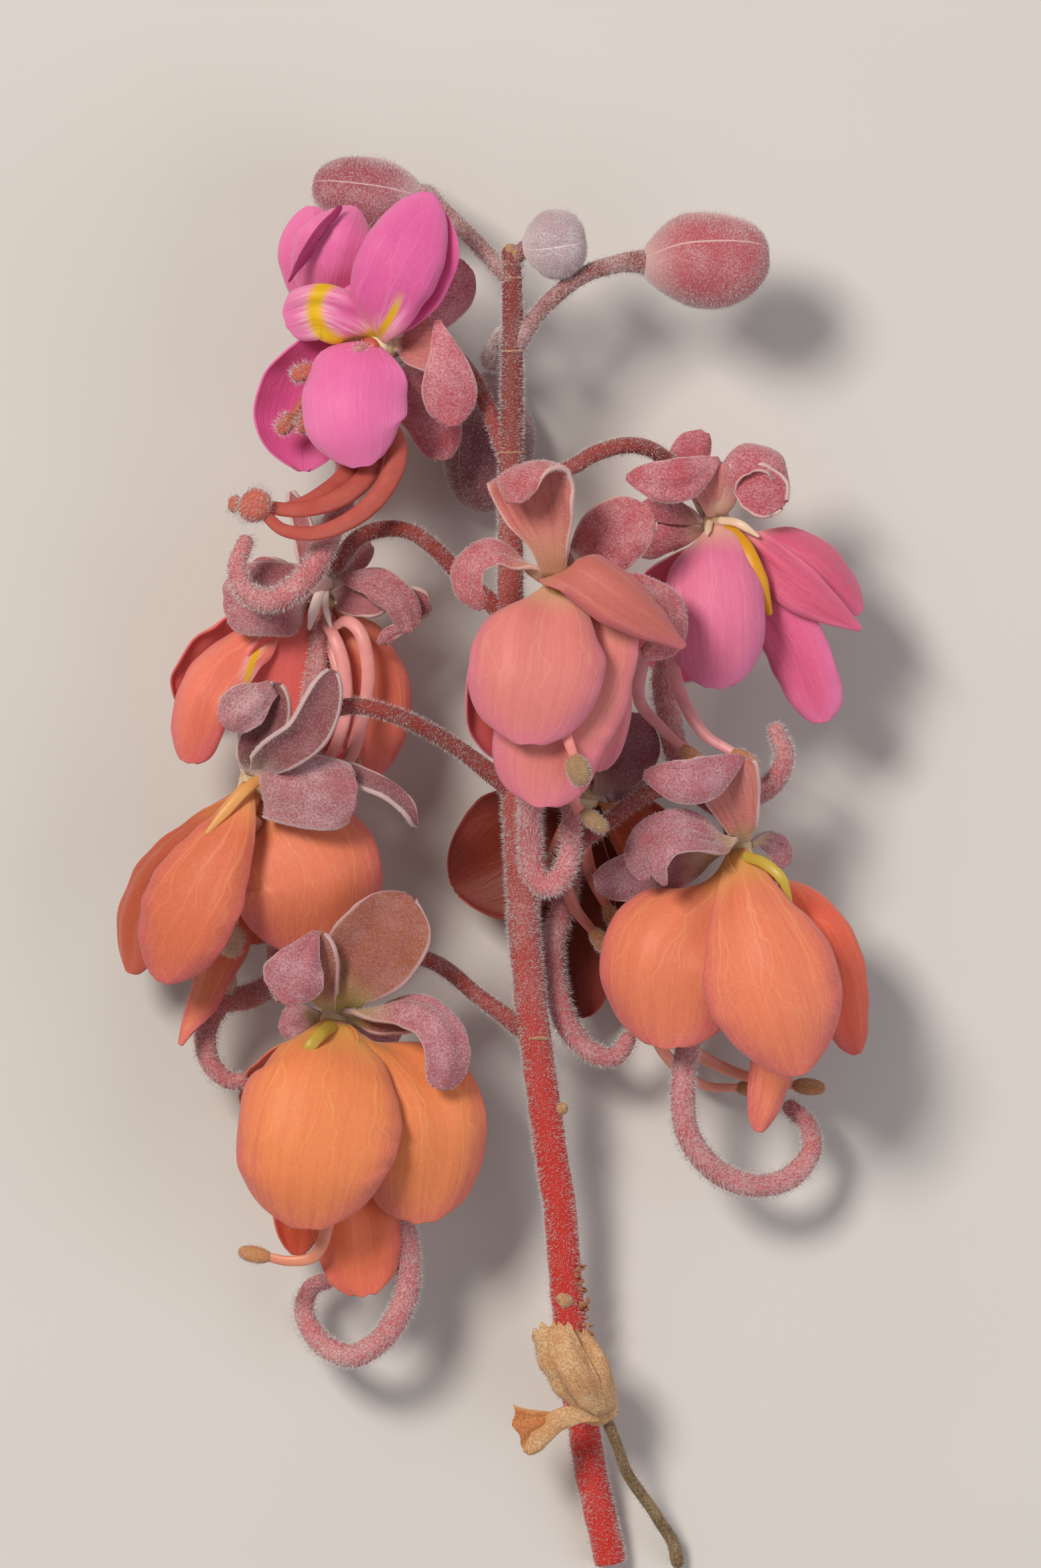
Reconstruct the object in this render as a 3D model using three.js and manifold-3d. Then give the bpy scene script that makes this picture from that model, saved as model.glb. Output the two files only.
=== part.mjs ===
// A cut flowering raceme of the pink shower tree, lying on its back on a flat surface.
// Millimetres, +Z up. Origin: bottom centre of the whole raceme. +Y runs along the stem to its tip.
// Eight open flowers, four buds and one withered flower hang from one felted stem.

import * as THREE from 'three';
import { mergeVertices } from 'three/addons/utils/BufferGeometryUtils.js';
import Module from 'manifold-3d';

const wasm = await Module();
wasm.setup();

// Driving dimensions
const SHEET_THICKNESS = 0.6;
const LOWEST = SHEET_THICKNESS / 2;
const RACHIS_RADIUS = [1.1, 1.1, 1.15, 1.15, 1.15, 1.15, 1.1, 0.95, 0.85, 0.8, 0.7];
const PEDICEL_RADIUS = 0.6;
const FILAMENT_RADIUS = [0.3, 0.5, 0.5, 0.42];
const PISTIL_RADIUS = [0.34, 0.55, 0.75, 0.8, 0.8, 0.75, 0.5];
const RACHIS_SIDES = 8;
const THIN_LIMB_SIDES = 5;
const FILAMENT_SIDES = 3;
const RACHIS_RINGS = 18;
const ANTHER = { long: 2.2, short: 1.6, radius: 0.8, sunk: 0.3, sides: 4, rings: 4 };
const BUD_MESH = { sides: 9, rings: 7 };
const DRY_BODY_MESH = { sides: 8, rings: 6 };
const DRY_STALK_RINGS = 9;

// Heights along a flower's axis from its centre, and radii, of what the flower stands on
const PEDICEL_END = -1.15;
const PEDICEL_APPROACH = 1.5;
const RECEPTACLE = { from: -1.05, to: -0.2, radius: 1.75 };
const PETAL_DISC = { from: 0, to: 0.8, radius: 1.65 };
const STAMEN_DISC = { from: 0.9, to: 1.4, radius: 0.95 };
const PISTIL_FOOT = 1.5;
const SEPAL_ROOT = { height: -0.65, radius: 1.45 };
const PETAL_ROOT = { height: 0.4, radius: 1.4 };
const STAMEN_ROOT = { height: 1.15, radius: 0.76 };
const STAMEN_RISE = 0.9;
const PISTIL_RISE = 0.8;

// Outlines of blades: share of the length, share of the full width
const PETAL = [[0, 0.1], [0.16, 0.3], [0.36, 0.8], [0.6, 1], [0.83, 0.84], [1, 0.38]];
const SEPAL = [[0, 0.22], [0.3, 0.66], [0.58, 1], [0.83, 0.8], [1, 0.3]];
const FOLDED = [[0, 0.2], [0.22, 0.42], [0.45, 0.85], [0.62, 1], [0.83, 0.8], [1, 0.25]];
const STRAP = [[0, 0.3], [0.2, 0.7], [0.42, 1], [0.62, 1], [0.83, 0.78], [1, 0.25]];
const SPINDLE = [[0, 0.3], [0.15, 0.75], [0.35, 1], [0.55, 0.98], [0.78, 0.62], [1, 0.14]];
const PETAL_COLUMNS = 4;
const SEPAL_COLUMNS = 3;
const TIP_ROUNDING = 0.55;
const CLAW_SHARE = 0.35;
const FLAT_BEND = 1e-3;

// Ways that the outer face of a blade looks
const UP = [0, 0, 1];
const DOWN = [0, 0, -1];
const FORE = [0, 1, 0.15];

// A direction that no limb runs along, from which its first side is set
const SKEW = [0.31, 0.17, 0.93];
const DISC_SIDES = 8;
const MERGE_DISTANCE = 1e-4;

const vector = (p) => new THREE.Vector3(...p);
const smooth = (x) => THREE.MathUtils.smoothstep(x, 0, 1);

// Value at share t of a list of evenly spaced values
function along(values, t) {
  const place = t * (values.length - 1);
  const first = Math.min(Math.floor(place), values.length - 2);
  return THREE.MathUtils.lerp(values[first], values[first + 1], place - first);
}

// Part of a vector that is square to a unit vector, as a unit vector
function squareTo(v, unit) {
  return v.clone().addScaledVector(unit, -v.dot(unit)).normalize();
}

// A closed solid from vertices and triangles, its faces turned outward
function solidOf(vertices, triangles) {
  const volume = triangles.reduce((sum, [a, b, c]) => {
    const cross = new THREE.Vector3().crossVectors(vertices[b], vertices[c]);
    return sum + vertices[a].dot(cross);
  }, 0);
  const facing = volume < 0 ? triangles.map(([a, b, c]) => [a, c, b]) : triangles;
  const vertProperties = new Float32Array(vertices.flatMap((v) => [v.x, v.y, v.z]));
  const triVerts = new Uint32Array(facing.flat());
  return new wasm.Manifold(new wasm.Mesh({ numProp: 3, vertProperties, triVerts }));
}

// A closed three.js geometry as a solid
function solidOfGeometry(geometry) {
  geometry.deleteAttribute('normal');
  geometry.deleteAttribute('uv');
  const merged = mergeVertices(geometry, MERGE_DISTANCE);
  const position = merged.getAttribute('position');
  const vertices = [];
  for (let i = 0; i < position.count; i += 1) {
    vertices.push(new THREE.Vector3().fromBufferAttribute(position, i));
  }
  const triangles = [];
  for (let i = 0; i < merged.index.count; i += 3) {
    triangles.push([merged.index.getX(i), merged.index.getX(i + 1), merged.index.getX(i + 2)]);
  }
  return solidOf(vertices, triangles);
}

const join = (solids) => solids.reduce((whole, solid) => whole.add(solid));

// Places, directions and side vectors at the given shares of a smooth line through points.
// The side vector is carried along the line without turning, from the middle outward.
function framesAlong(points, shares, facing) {
  const curve = new THREE.CatmullRomCurve3(points.map(vector), false, 'centripetal');
  const frames = shares.map((t) => ({
    t,
    place: curve.getPointAt(t),
    tangent: curve.getTangentAt(t).normalize(),
  }));
  const middle = Math.floor(frames.length / 2);
  frames[middle].normal = squareTo(vector(facing), frames[middle].tangent);
  for (let i = middle + 1; i < frames.length; i += 1) {
    frames[i].normal = squareTo(frames[i - 1].normal, frames[i].tangent);
  }
  for (let i = middle - 1; i >= 0; i -= 1) {
    frames[i].normal = squareTo(frames[i + 1].normal, frames[i].tangent);
  }
  for (const frame of frames) {
    frame.side = new THREE.Vector3().crossVectors(frame.tangent, frame.normal);
  }
  return frames;
}

// A round limb along points, its radius taken from a list, closed at both ends
function limb(points, radii, sides, rings) {
  const shares = Array.from({ length: rings }, (_, i) => i / (rings - 1));
  const frames = framesAlong(points, shares, SKEW);
  const vertices = [];
  const triangles = [];
  frames.forEach(({ t, place, normal, side }, ring) => {
    const radius = along(radii, t);
    for (let k = 0; k < sides; k += 1) {
      const angle = (2 * Math.PI * (k + 0.5)) / sides;
      vertices.push(
        place.clone()
          .addScaledVector(normal, radius * Math.cos(angle))
          .addScaledVector(side, radius * Math.sin(angle)),
      );
      if (ring > 0) {
        const next = (k + 1) % sides;
        const low = (ring - 1) * sides;
        const high = ring * sides;
        triangles.push([low + k, low + next, high + k], [low + next, high + next, high + k]);
      }
    }
  });
  const top = (rings - 1) * sides;
  for (let k = 1; k < sides - 1; k += 1) {
    triangles.push([0, k + 1, k], [top, top + k, top + k + 1]);
  }
  return solidOf(vertices, triangles);
}

// A curved sheet along points: an arc across, bulging to its outer face, with its outline's width.
// clawSide is the side vector at the root, from which the sheet turns within its claw.
function blade(points, { outline = SEPAL, width, cup = 0.5, facing = UP }, clawSide) {
  const columns = outline === PETAL ? PETAL_COLUMNS : SEPAL_COLUMNS;
  const frames = framesAlong(points, outline.map(([share]) => share), facing);
  const claw = clawSide.dot(frames[0].side) < 0 ? clawSide.clone().negate() : clawSide;
  const rows = frames.map(({ t, place, tangent, side }, row) => {
    const turned = claw.clone().lerp(side, smooth(t / CLAW_SHARE));
    const across = squareTo(turned, tangent);
    const outward = new THREE.Vector3().crossVectors(across, tangent);
    const half = (width * outline[row][1]) / 2;
    const bend = cup * smooth(t / CLAW_SHARE) + FLAT_BEND;
    return Array.from({ length: columns + 1 }, (_, column) => {
      const u = (2 * column) / columns - 1;
      const point = place.clone()
        .addScaledVector(across, (half * Math.sin(u * bend)) / bend)
        .addScaledVector(outward, (-half * (1 - Math.cos(u * bend))) / bend)
        .addScaledVector(tangent, -TIP_ROUNDING * half * u * u * t * t);
      point.z = Math.max(point.z, LOWEST);
      return point;
    });
  });
  return sheet(rows);
}

// A sheet of even thickness about a grid of points, with both faces split alike. Where it lies
// on the surface, its faces are level.
function sheet(rows) {
  const high = rows.length;
  const wide = rows[0].length;
  const vertices = [];
  for (const face of [0.5, -0.5]) {
    for (let i = 0; i < high; i += 1) {
      for (let j = 0; j < wide; j += 1) {
        const length = rows[Math.min(i + 1, high - 1)][j].clone().sub(rows[Math.max(i - 1, 0)][j]);
        const breadth = rows[i][Math.min(j + 1, wide - 1)].clone().sub(rows[i][Math.max(j - 1, 0)]);
        const normal = length.cross(breadth).normalize();
        if (rows[i][j].z <= LOWEST) normal.set(0, 0, Math.sign(normal.z));
        vertices.push(rows[i][j].clone().addScaledVector(normal, face * SHEET_THICKNESS));
      }
    }
  }
  const front = (i, j) => i * wide + j;
  const back = (i, j) => high * wide + i * wide + j;
  const triangles = [];
  for (let i = 0; i < high - 1; i += 1) {
    for (let j = 0; j < wide - 1; j += 1) {
      triangles.push([front(i, j), front(i + 1, j), front(i + 1, j + 1)]);
      triangles.push([front(i, j), front(i + 1, j + 1), front(i, j + 1)]);
      triangles.push([back(i, j), back(i + 1, j + 1), back(i + 1, j)]);
      triangles.push([back(i, j), back(i, j + 1), back(i + 1, j + 1)]);
    }
  }
  const rim = [];
  for (let j = 0; j < wide - 1; j += 1) rim.push([0, j]);
  for (let i = 0; i < high - 1; i += 1) rim.push([i, wide - 1]);
  for (let j = wide - 1; j > 0; j -= 1) rim.push([high - 1, j]);
  for (let i = high - 1; i > 0; i -= 1) rim.push([i, 0]);
  rim.forEach(([i, j], k) => {
    const [m, n] = rim[(k + 1) % rim.length];
    triangles.push([front(i, j), front(m, n), back(m, n)]);
    triangles.push([front(i, j), back(m, n), back(i, j)]);
  });
  return solidOf(vertices, triangles);
}

// The flowers. Every blade is given by the points that its middle line passes after its root.
// Flower a: hot pink, near the tip on the left, looking left and up
const FLOWER_A = {
  centre: [-8.3, 36.3, 15],
  axis: [-0.6, -0.1, 0.79],
  pedicel: [[0.9, 28.7, 14], [-1.7, 34.4, 12.4], [-4, 36.6, 10.8]],
  sepals: [
    { path: [[-5.8, 38.8, 12.5], [-3.8, 40.3, 12], [-2, 42.3, 12]], width: 4.6 },
    {
      path: [[-6.2, 36.9, 14.6], [-4.2, 37, 15.6], [-2.8, 34, 15.4], [-3.3, 30.8, 15]],
      width: 4,
      outline: FOLDED,
      facing: [0.7, 0.55, 0.45],
    },
    { path: [[-6.8, 34, 11.6], [-4.5, 31.5, 11.2], [-3.7, 28.4, 11]], width: 4.2 },
    { path: [[-9.3, 39, 9], [-9.8, 42, 7.4]], width: 4, facing: DOWN },
    { path: [[-9.6, 34.3, 10], [-10, 31.5, 8.2], [-10, 29.5, 7.4]], width: 4, facing: DOWN },
  ],
  petals: [
    {
      path: [[-11.5, 38, 16.4], [-12.3, 40.3, 14.6], [-12, 43.2, 16.4], [-11, 46.8, 14.8]],
      width: 6.6,
    },
    {
      path: [[-12, 40, 10.4], [-13.6, 43, 11.2], [-12.8, 46.8, 11.4]],
      width: 5.6,
      facing: [-0.5, 0.2, 0.8],
    },
    {
      path: [[-8.3, 39, 18.2], [-6.5, 43, 20], [-5, 49, 18.4]],
      width: 7,
      cup: 0.8,
      facing: [0.25, 0, 1],
    },
    { path: [[-8.7, 34.9, 18.6], [-9.3, 32, 21], [-9.7, 28, 20]], width: 8.8, cup: 0.9 },
    {
      path: [[-12, 34.5, 13], [-13.4, 32, 12], [-14, 27.6, 12.4]],
      width: 8.6,
      cup: 0.6,
      facing: DOWN,
    },
  ],
  stamens: [
    {
      path: [
        [-9.3, 34.6, 16], [-8.4, 32, 16], [-7, 29.5, 16.5], [-7.5, 27, 17.4], [-9.5, 24.6, 18.4],
        [-12.5, 23.2, 19.4], [-15, 23.3, 19.8], [-16.6, 24.4, 19.9],
      ],
    },
    {
      path: [
        [-9.5, 34.4, 15.6], [-9, 32, 15.4], [-8.5, 29, 16], [-9.3, 27, 17], [-11.3, 25.5, 18.2],
        [-14, 24.8, 19], [-16.7, 25.1, 19.2], [-18.4, 25.2, 19.2],
      ],
    },
    { path: [[-11, 35.8, 16.2], [-13.3, 34.8, 16.6]] },
    { path: [[-11.6, 34.8, 15], [-14.4, 31.4, 15.6]] },
    { path: [[-12, 34.6, 16.2], [-13.2, 31.6, 17]] },
  ],
  pistil: [
    [-10.4, 33.8, 16.6], [-10.6, 31, 15.9], [-10.5, 28.5, 15], [-10.7, 26, 15.2], [-11.4, 24, 15.9],
    [-12, 22.5, 16.5], [-12.8, 20.8, 17], [-14.2, 19.2, 17.2], [-16, 18.4, 17.2],
    [-17.7, 19.1, 17.2], [-18.3, 20.8, 17.1], [-17.7, 22.5, 17],
  ],
};

// Flower b: hot pink, on the right, its standard petal and two others thrown out to the side
const FLOWER_B = {
  centre: [15.8, 23.6, 12],
  axis: [0.15, -0.85, 0.5],
  pedicel: [
    [1.1, 25.5, 13.9], [3.5, 27, 14], [5.5, 27.9, 14], [7, 28.8, 14], [9, 29.4, 13.4],
    [10.7, 29.3, 12.4], [12.6, 28.1, 10.8],
  ],
  sepals: [
    {
      path: [[15.2, 26, 13.8], [14, 28.1, 14.4], [12.9, 27.5, 16.2], [12.3, 25.4, 16.8]],
      width: 5.6,
      outline: FOLDED,
      facing: FORE,
    },
    { path: [[15.3, 26.5, 9.6], [14.3, 29, 9.4], [13.9, 30.2, 9.4]], width: 3.4 },
    {
      path: [
        [16.8, 26.6, 13.2], [17.6, 28.5, 14.2], [19.7, 27.8, 16], [20.3, 26, 16.6],
        [18.9, 24.9, 16.4],
      ],
      width: 3.6,
      outline: FOLDED,
      facing: [0.5, 0.85, 0.2],
    },
    { path: [[13.7, 24.4, 11.4], [12, 24.8, 11.2], [10.3, 25, 10.8]], width: 1.9 },
    { path: [[13.6, 23.2, 9.4], [11.7, 22.5, 9.6], [9.9, 21.6, 9.2]], width: 2.2 },
  ],
  petals: [
    { path: [[15.5, 20.7, 16.4], [15.8, 17, 17.6], [16.3, 12.3, 15.8]], width: 8.7, cup: 0.8 },
    {
      path: [[18, 20.2, 13.2], [20.9, 15.5, 12.6], [23.4, 9.9, 10.6]],
      width: 5,
      facing: [-0.4, 0, 0.9],
    },
    {
      path: [[18.9, 23, 12.4], [22.5, 21.1, 12.8], [26, 17.7, 11]],
      width: 5.2,
      facing: [0.4, 0.3, 0.85],
    },
    { path: [[19, 21.5, 14.2], [22, 18.9, 14.6], [25.9, 16.4, 13]], width: 3.6, outline: SPINDLE },
    {
      path: [[13.7, 20.3, 6.4], [13, 16.5, 1.4], [14, 12.8, -0.8]],
      width: 7.6,
      cup: 0.6,
      facing: DOWN,
    },
  ],
  stamens: [
    {
      path: [
        [14.2, 20, 14], [11.2, 16, 11.8], [10.2, 11.5, 11], [11.8, 9.4, 11.6], [13.4, 7.9, 12],
      ],
    },
    {
      path: [
        [15, 19.5, 14.2], [12.6, 14.6, 12.6], [13.3, 11.5, 12.2], [14.8, 9, 12.8], [17, 7.6, 13.4],
      ],
    },
    { path: [[17.7, 19.6, 10.9], [16.6, 14, 9], [16, 10, 9.2], [16.2, 8.2, 10.2]] },
    { path: [[17.3, 20.4, 11.2], [17.4, 17.6, 10.6]] },
    { path: [[16.8, 19.8, 14.4], [16.6, 17, 14.2]] },
  ],
  pistil: [
    [14.5, 19, 11.3], [13.2, 16, 8.9], [12, 13.4, 8], [12.3, 10.5, 8], [13, 7.5, 8],
    [14.6, 5.1, 8.5], [17.5, 4.4, 10], [19.8, 5.6, 11.5], [20.5, 7.5, 12.5], [19.9, 9.2, 13],
  ],
};

// Flower c: salmon pink, in front of the stem, its faded fifth petal to the right
const FLOWER_C = {
  centre: [4.3, 19.2, 23],
  axis: [-0.05, -0.88, 0.47],
  pedicel: [[1.1, 27, 14.2], [2.4, 26.6, 16.4], [3.7, 24.6, 19.2]],
  sepals: [
    {
      path: [[3.8, 22.5, 25.4], [3, 26, 26.4], [2.6, 27.8, 27.4], [1.9, 27, 29], [1.7, 25.4, 29.3]],
      width: 5.8,
      outline: FOLDED,
      facing: FORE,
    },
    {
      path: [[2, 21, 23.6], [0, 22, 24.4], [-1.9, 21, 24.8], [-1.9, 19, 24.8], [-0.9, 17.8, 24.4]],
      width: 2.8,
      outline: STRAP,
      facing: [-0.55, 0.3, 0.75],
    },
    { path: [[6.7, 20.7, 21.4], [8, 22.8, 21.8], [10.8, 24.3, 22]], width: 4.8, facing: DOWN },
    {
      path: [
        [6.6, 19.5, 20.2], [10, 19.6, 21.4], [12.4, 18.2, 22], [12.3, 15.6, 22.4],
        [10.4, 14.6, 22.8],
      ],
      width: 2.6,
      outline: STRAP,
      facing: [0.5, 0.5, 0.7],
    },
    { path: [[5.4, 20.6, 19.6], [6.3, 21.2, 17.6]], width: 2.6 },
  ],
  petals: [
    { path: [[3.5, 16.5, 27.4], [3, 13, 28.8], [2.3, 8.3, 27.8]], width: 10.4, cup: 0.75 },
    {
      path: [[7.2, 17.2, 24], [5.8, 13, 25.2], [3.9, 8.6, 25.6], [3.3, 3.9, 24.8]],
      width: 9.2,
      cup: 0.65,
    },
    { path: [[1.5, 16, 20.6], [0, 12, 20], [0.5, 7.2, 19]], width: 6.6, facing: [-0.5, 0, -0.8] },
    { path: [[6.8, 16, 21], [7.3, 11.5, 20.3], [7.3, 6.3, 19.6]], width: 6, facing: [0.3, 0, 1] },
    { path: [[7.3, 19.9, 26.6], [10, 17.8, 27.4], [13.3, 15.1, 25.6]], width: 4, outline: SPINDLE },
  ],
  stamens: [
    { path: [[3.6, 15.5, 25.9], [4.5, 10.5, 26.45], [5.6, 7.2, 26.6]] },
    { path: [[5, 14, 22.4], [5.7, 9, 22.1], [6.7, 5, 21.8], [6.8, 4.2, 21.6]] },
    { path: [[3.2, 15, 25.9], [2.6, 12, 26.5]] },
    { path: [[2, 15.6, 22.8], [1, 12, 22.4]] },
  ],
  pistil: [
    [3.6, 14.6, 22.6], [3, 10, 21.8], [2.5, 4, 19.2], [2.5, 1, 17.6], [2.7, -0.8, 17.2],
    [3.6, -1.8, 17.3], [4.8, -1, 17.6], [5.3, 1.5, 18], [5.3, 3.8, 18.2],
  ],
};

// Flower d: coral, on the left, open downward with its stamens showing
const FLOWER_D = {
  centre: [-12.3, 18.4, 10],
  axis: [-0.05, -0.9, 0.4],
  pedicel: [
    [1.1, 17, 13.8], [-2.7, 20.5, 13.6], [-4.5, 22.3, 14], [-6, 23.3, 14.2], [-8, 23.5, 14.2],
    [-9.8, 22.8, 13.6], [-11.3, 21, 12.2],
  ],
  sepals: [
    { path: [[-14.8, 19.2, 12.2], [-17.2, 19, 13.6], [-19.2, 19, 12.9]], width: 5.4 },
    {
      path: [[-10.4, 19.3, 12.4], [-8, 18.5, 13.6], [-5, 17.4, 13]],
      width: 3.6,
      facing: [0.1, 0.5, 0.85],
    },
    { path: [[-11, 20.6, 8.6], [-9, 21.8, 8]], width: 2.4 },
    { path: [[-13.6, 21.5, 7.8], [-14.2, 24, 6.6], [-14.6, 26.2, 6.2]], width: 3, facing: DOWN },
    { path: [[-10.2, 18.2, 8.4], [-8.6, 16.8, 8.2], [-7.6, 15.8, 8.2]], width: 1.8 },
  ],
  petals: [
    {
      path: [[-15.9, 16, 10.4], [-20, 13.2, 12.2], [-22, 8, 10.4]],
      width: 6.6,
      facing: [-0.45, 0, 0.9],
    },
    {
      path: [[-16.5, 16.8, 6.6], [-20.2, 14, 5], [-21.8, 10.5, 3.6]],
      width: 7,
      facing: [-0.6, 0, -0.6],
    },
    { path: [[-14, 15.2, 9.4], [-14.4, 11.5, 8.6], [-14.4, 6.2, 7]], width: 8, facing: DOWN },
    {
      path: [[-9.7, 15, 11], [-7.9, 11.5, 10.8], [-8.2, 6.2, 9]],
      width: 6.8,
      cup: 0.7,
      facing: [0.6, 0, -0.6],
    },
    { path: [[-11, 15.2, 4.4], [-11, 11.2, 0.9], [-11.3, 6.8, -0.8]], width: 8.6, facing: DOWN },
  ],
  stamens: [
    {
      path: [
        [-11.2, 16.8, 12.2], [-10.2, 16.9, 12.8], [-9.2, 14, 13.2], [-9.1, 11, 13],
        [-9.8, 8, 12.4], [-10.9, 6, 11.2],
      ],
    },
    {
      path: [
        [-11.6, 16.2, 12.4], [-10.8, 14, 12.8], [-10.7, 10, 12.4], [-11.5, 7.8, 11.9],
        [-12.3, 6.6, 11.4],
      ],
    },
    { path: [[-11.5, 15, 11.2], [-10.2, 10.5, 11.8], [-10.2, 7.8, 11.6]] },
    { path: [[-13, 15.8, 12], [-13.2, 13.4, 12.4]] },
  ],
  pistil: [[-12.6, 14, 11], [-13, 10, 10], [-13.2, 7, 9], [-12.4, 4.9, 8], [-11, 4.2, 8]],
};

// Flower e: orange, low on the left, over the petals of flower d
const FLOWER_E = {
  centre: [-17.3, 5.3, 13],
  axis: [-0.25, -0.85, 0.45],
  pedicel: [
    [1.3, 5, 13.2], [-0.3, 6.2, 14], [-3, 8.2, 15.4], [-5.5, 9.6, 17], [-8, 10.6, 18],
    [-10.7, 10.9, 18], [-14, 9.2, 16.6],
  ],
  sepals: [
    {
      path: [[-15.4, 8.4, 19], [-13, 10.6, 20.6], [-11.7, 13.5, 21.4]],
      width: 4.4,
      cup: 0.8,
      facing: [0.4, -0.4, 0.8],
    },
    {
      path: [[-16.9, 9, 17.4], [-15.7, 11.6, 19.6], [-17.3, 11.5, 21.4], [-19.2, 9.9, 21]],
      width: 3.8,
      outline: FOLDED,
      facing: [0.3, 0.9, 0.2],
    },
    {
      path: [[-15.4, 5.9, 16.6], [-12.9, 4.9, 17.8], [-10, 4.2, 17.2]],
      width: 5.4,
      cup: 0.35,
      facing: [0, -0.1, 1],
    },
    {
      path: [[-13, 6.7, 15], [-9.5, 5.9, 15.4], [-5.7, 2.8, 14.2]],
      width: 2.3,
      facing: [0.2, 0.6, 0.75],
    },
    { path: [[-18.2, 7.6, 10.8], [-18.4, 9.8, 9]], width: 3, facing: DOWN },
  ],
  petals: [
    {
      path: [[-19.8, 1, 16.8], [-21.6, -3.5, 17.2], [-22.9, -8.2, 14.6]],
      width: 9.4,
      facing: [-0.3, 0, 0.95],
    },
    {
      path: [[-21.8, 3.2, 11], [-25, -2, 9.2], [-26.1, -7.9, 7.6]],
      width: 6,
      facing: [-0.8, 0, 0.5],
    },
    {
      path: [[-15.3, 2.6, 14.4], [-12.9, -1.4, 14.8], [-13.3, -6.5, 11.6]],
      width: 11.6,
      cup: 0.6,
      facing: [0.15, 0, 1],
    },
    {
      path: [[-19.6, -1, 8], [-20.8, -7.4, 8.8], [-22, -12.8, 9.4]],
      width: 4.6,
      facing: [-0.4, 0, 0.85],
    },
    { path: [[-17.2, 2, 5.6], [-17.2, -2, 0.9], [-17.2, -6, -0.8]], width: 9, facing: DOWN },
  ],
  stamens: [
    { path: [[-18.7, 2.2, 14.2], [-18.2, -1, 12.6], [-18.5, -4, 11.6], [-18.7, -5.8, 11.2]] },
    { path: [[-19.2, 2.4, 13.6], [-19.2, -2, 11.6], [-19.6, -5, 10.8], [-20.1, -8.7, 10.6]] },
    { path: [[-16.5, 2, 12.4], [-16, -1, 11.6]] },
    { path: [[-18.9, 1.6, 11.4], [-19.8, -1, 10.6]] },
  ],
  pistil: [
    [-17, 1.4, 10.6], [-16.2, -2.4, 7.4], [-15.4, -6, 5], [-15.8, -8.6, 4.6], [-17.5, -9.7, 5.4],
    [-19.5, -10.1, 6.2], [-20.6, -12, 6.4], [-20.3, -14.3, 6.4], [-19, -15.6, 6.4],
    [-17.9, -15.7, 6.4],
  ],
};

// Flower f: orange, lowest on the left, its broad front petal over the others
const FLOWER_F = {
  centre: [-11.5, -11.5, 12],
  axis: [-0.1, -0.9, 0.42],
  pedicel: [
    [2.4, -12.3, 9.6], [1.2, -11.4, 9.9], [-1, -9.8, 10], [-4.2, -7.3, 10.4], [-8, -6.6, 10.6],
  ],
  sepals: [
    {
      path: [[-9.9, -8, 14.8], [-7.6, -5, 16.2], [-6.1, -2.5, 15.8]],
      width: 6.6,
      cup: 0.3,
      facing: DOWN,
    },
    {
      path: [[-12.5, -7.8, 15], [-13.4, -5.6, 17.4], [-14.9, -7.4, 19], [-15.9, -9.6, 18.4]],
      width: 5,
      outline: FOLDED,
      facing: [-0.3, 1, 0],
    },
    { path: [[-13.8, -11.1, 11], [-15.5, -11.5, 9.6]], width: 3, facing: [-0.5, 0, 0.85] },
    {
      path: [[-8.6, -10.3, 14], [-5, -10.5, 16], [-2.9, -12.2, 16.8], [-3.2, -15.6, 16.2]],
      width: 3.8,
      outline: STRAP,
      facing: [0.7, 0.5, 0.5],
    },
    { path: [[-9, -11.8, 9.4], [-6.8, -12.6, 8.2]], width: 2.4 },
  ],
  petals: [
    { path: [[-12.2, -16.5, 18.4], [-13.2, -21, 20], [-13.3, -26, 17]], width: 13.4, cup: 0.7 },
    {
      path: [[-7.2, -14.4, 14], [-4.6, -18.5, 15], [-4.9, -25.4, 12.4]],
      width: 9.8,
      facing: [0.35, 0, 0.94],
    },
    {
      path: [[-10.8, -19, 9.2], [-9.7, -25, 8.8], [-8.9, -30.6, 7.4]],
      width: 7.4,
      facing: [0.2, 0, 1],
    },
    {
      path: [[-13.6, -18.5, 6.6], [-14.9, -23.6, 5.6], [-14.7, -27.8, 5.4]],
      width: 7,
      facing: DOWN,
    },
    { path: [[-13.6, -14.2, 7.4], [-14.6, -16.8, 2.2], [-14.6, -20.4, -0.8]], width: 7, facing: DOWN },
  ],
  stamens: [
    {
      path: [
        [-12.6, -16, 14], [-12.4, -20, 12.8], [-11.8, -25, 12.6], [-12.8, -28, 12.2],
        [-14.6, -28.4, 11.8], [-16.2, -28.1, 11.6],
      ],
    },
    { path: [[-12, -16, 14.9], [-13.4, -21, 15]] },
    { path: [[-10.4, -15.6, 14], [-10.6, -20, 13.6]] },
    { path: [[-13, -15.6, 14], [-15, -17.6, 13.6]] },
  ],
  pistil: [
    [-10.6, -16.4, 11.2], [-9, -20, 10.4], [-7, -24.4, 9.4], [-6.2, -28, 8.8], [-6.4, -31, 8.4],
    [-8, -33.9, 8.2], [-10.2, -35.2, 7.4], [-12.4, -34.3, 6], [-13.6, -32.1, 4.6],
    [-13.1, -30.4, 3.8], [-11.9, -29.9, 3.4],
  ],
};

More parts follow.
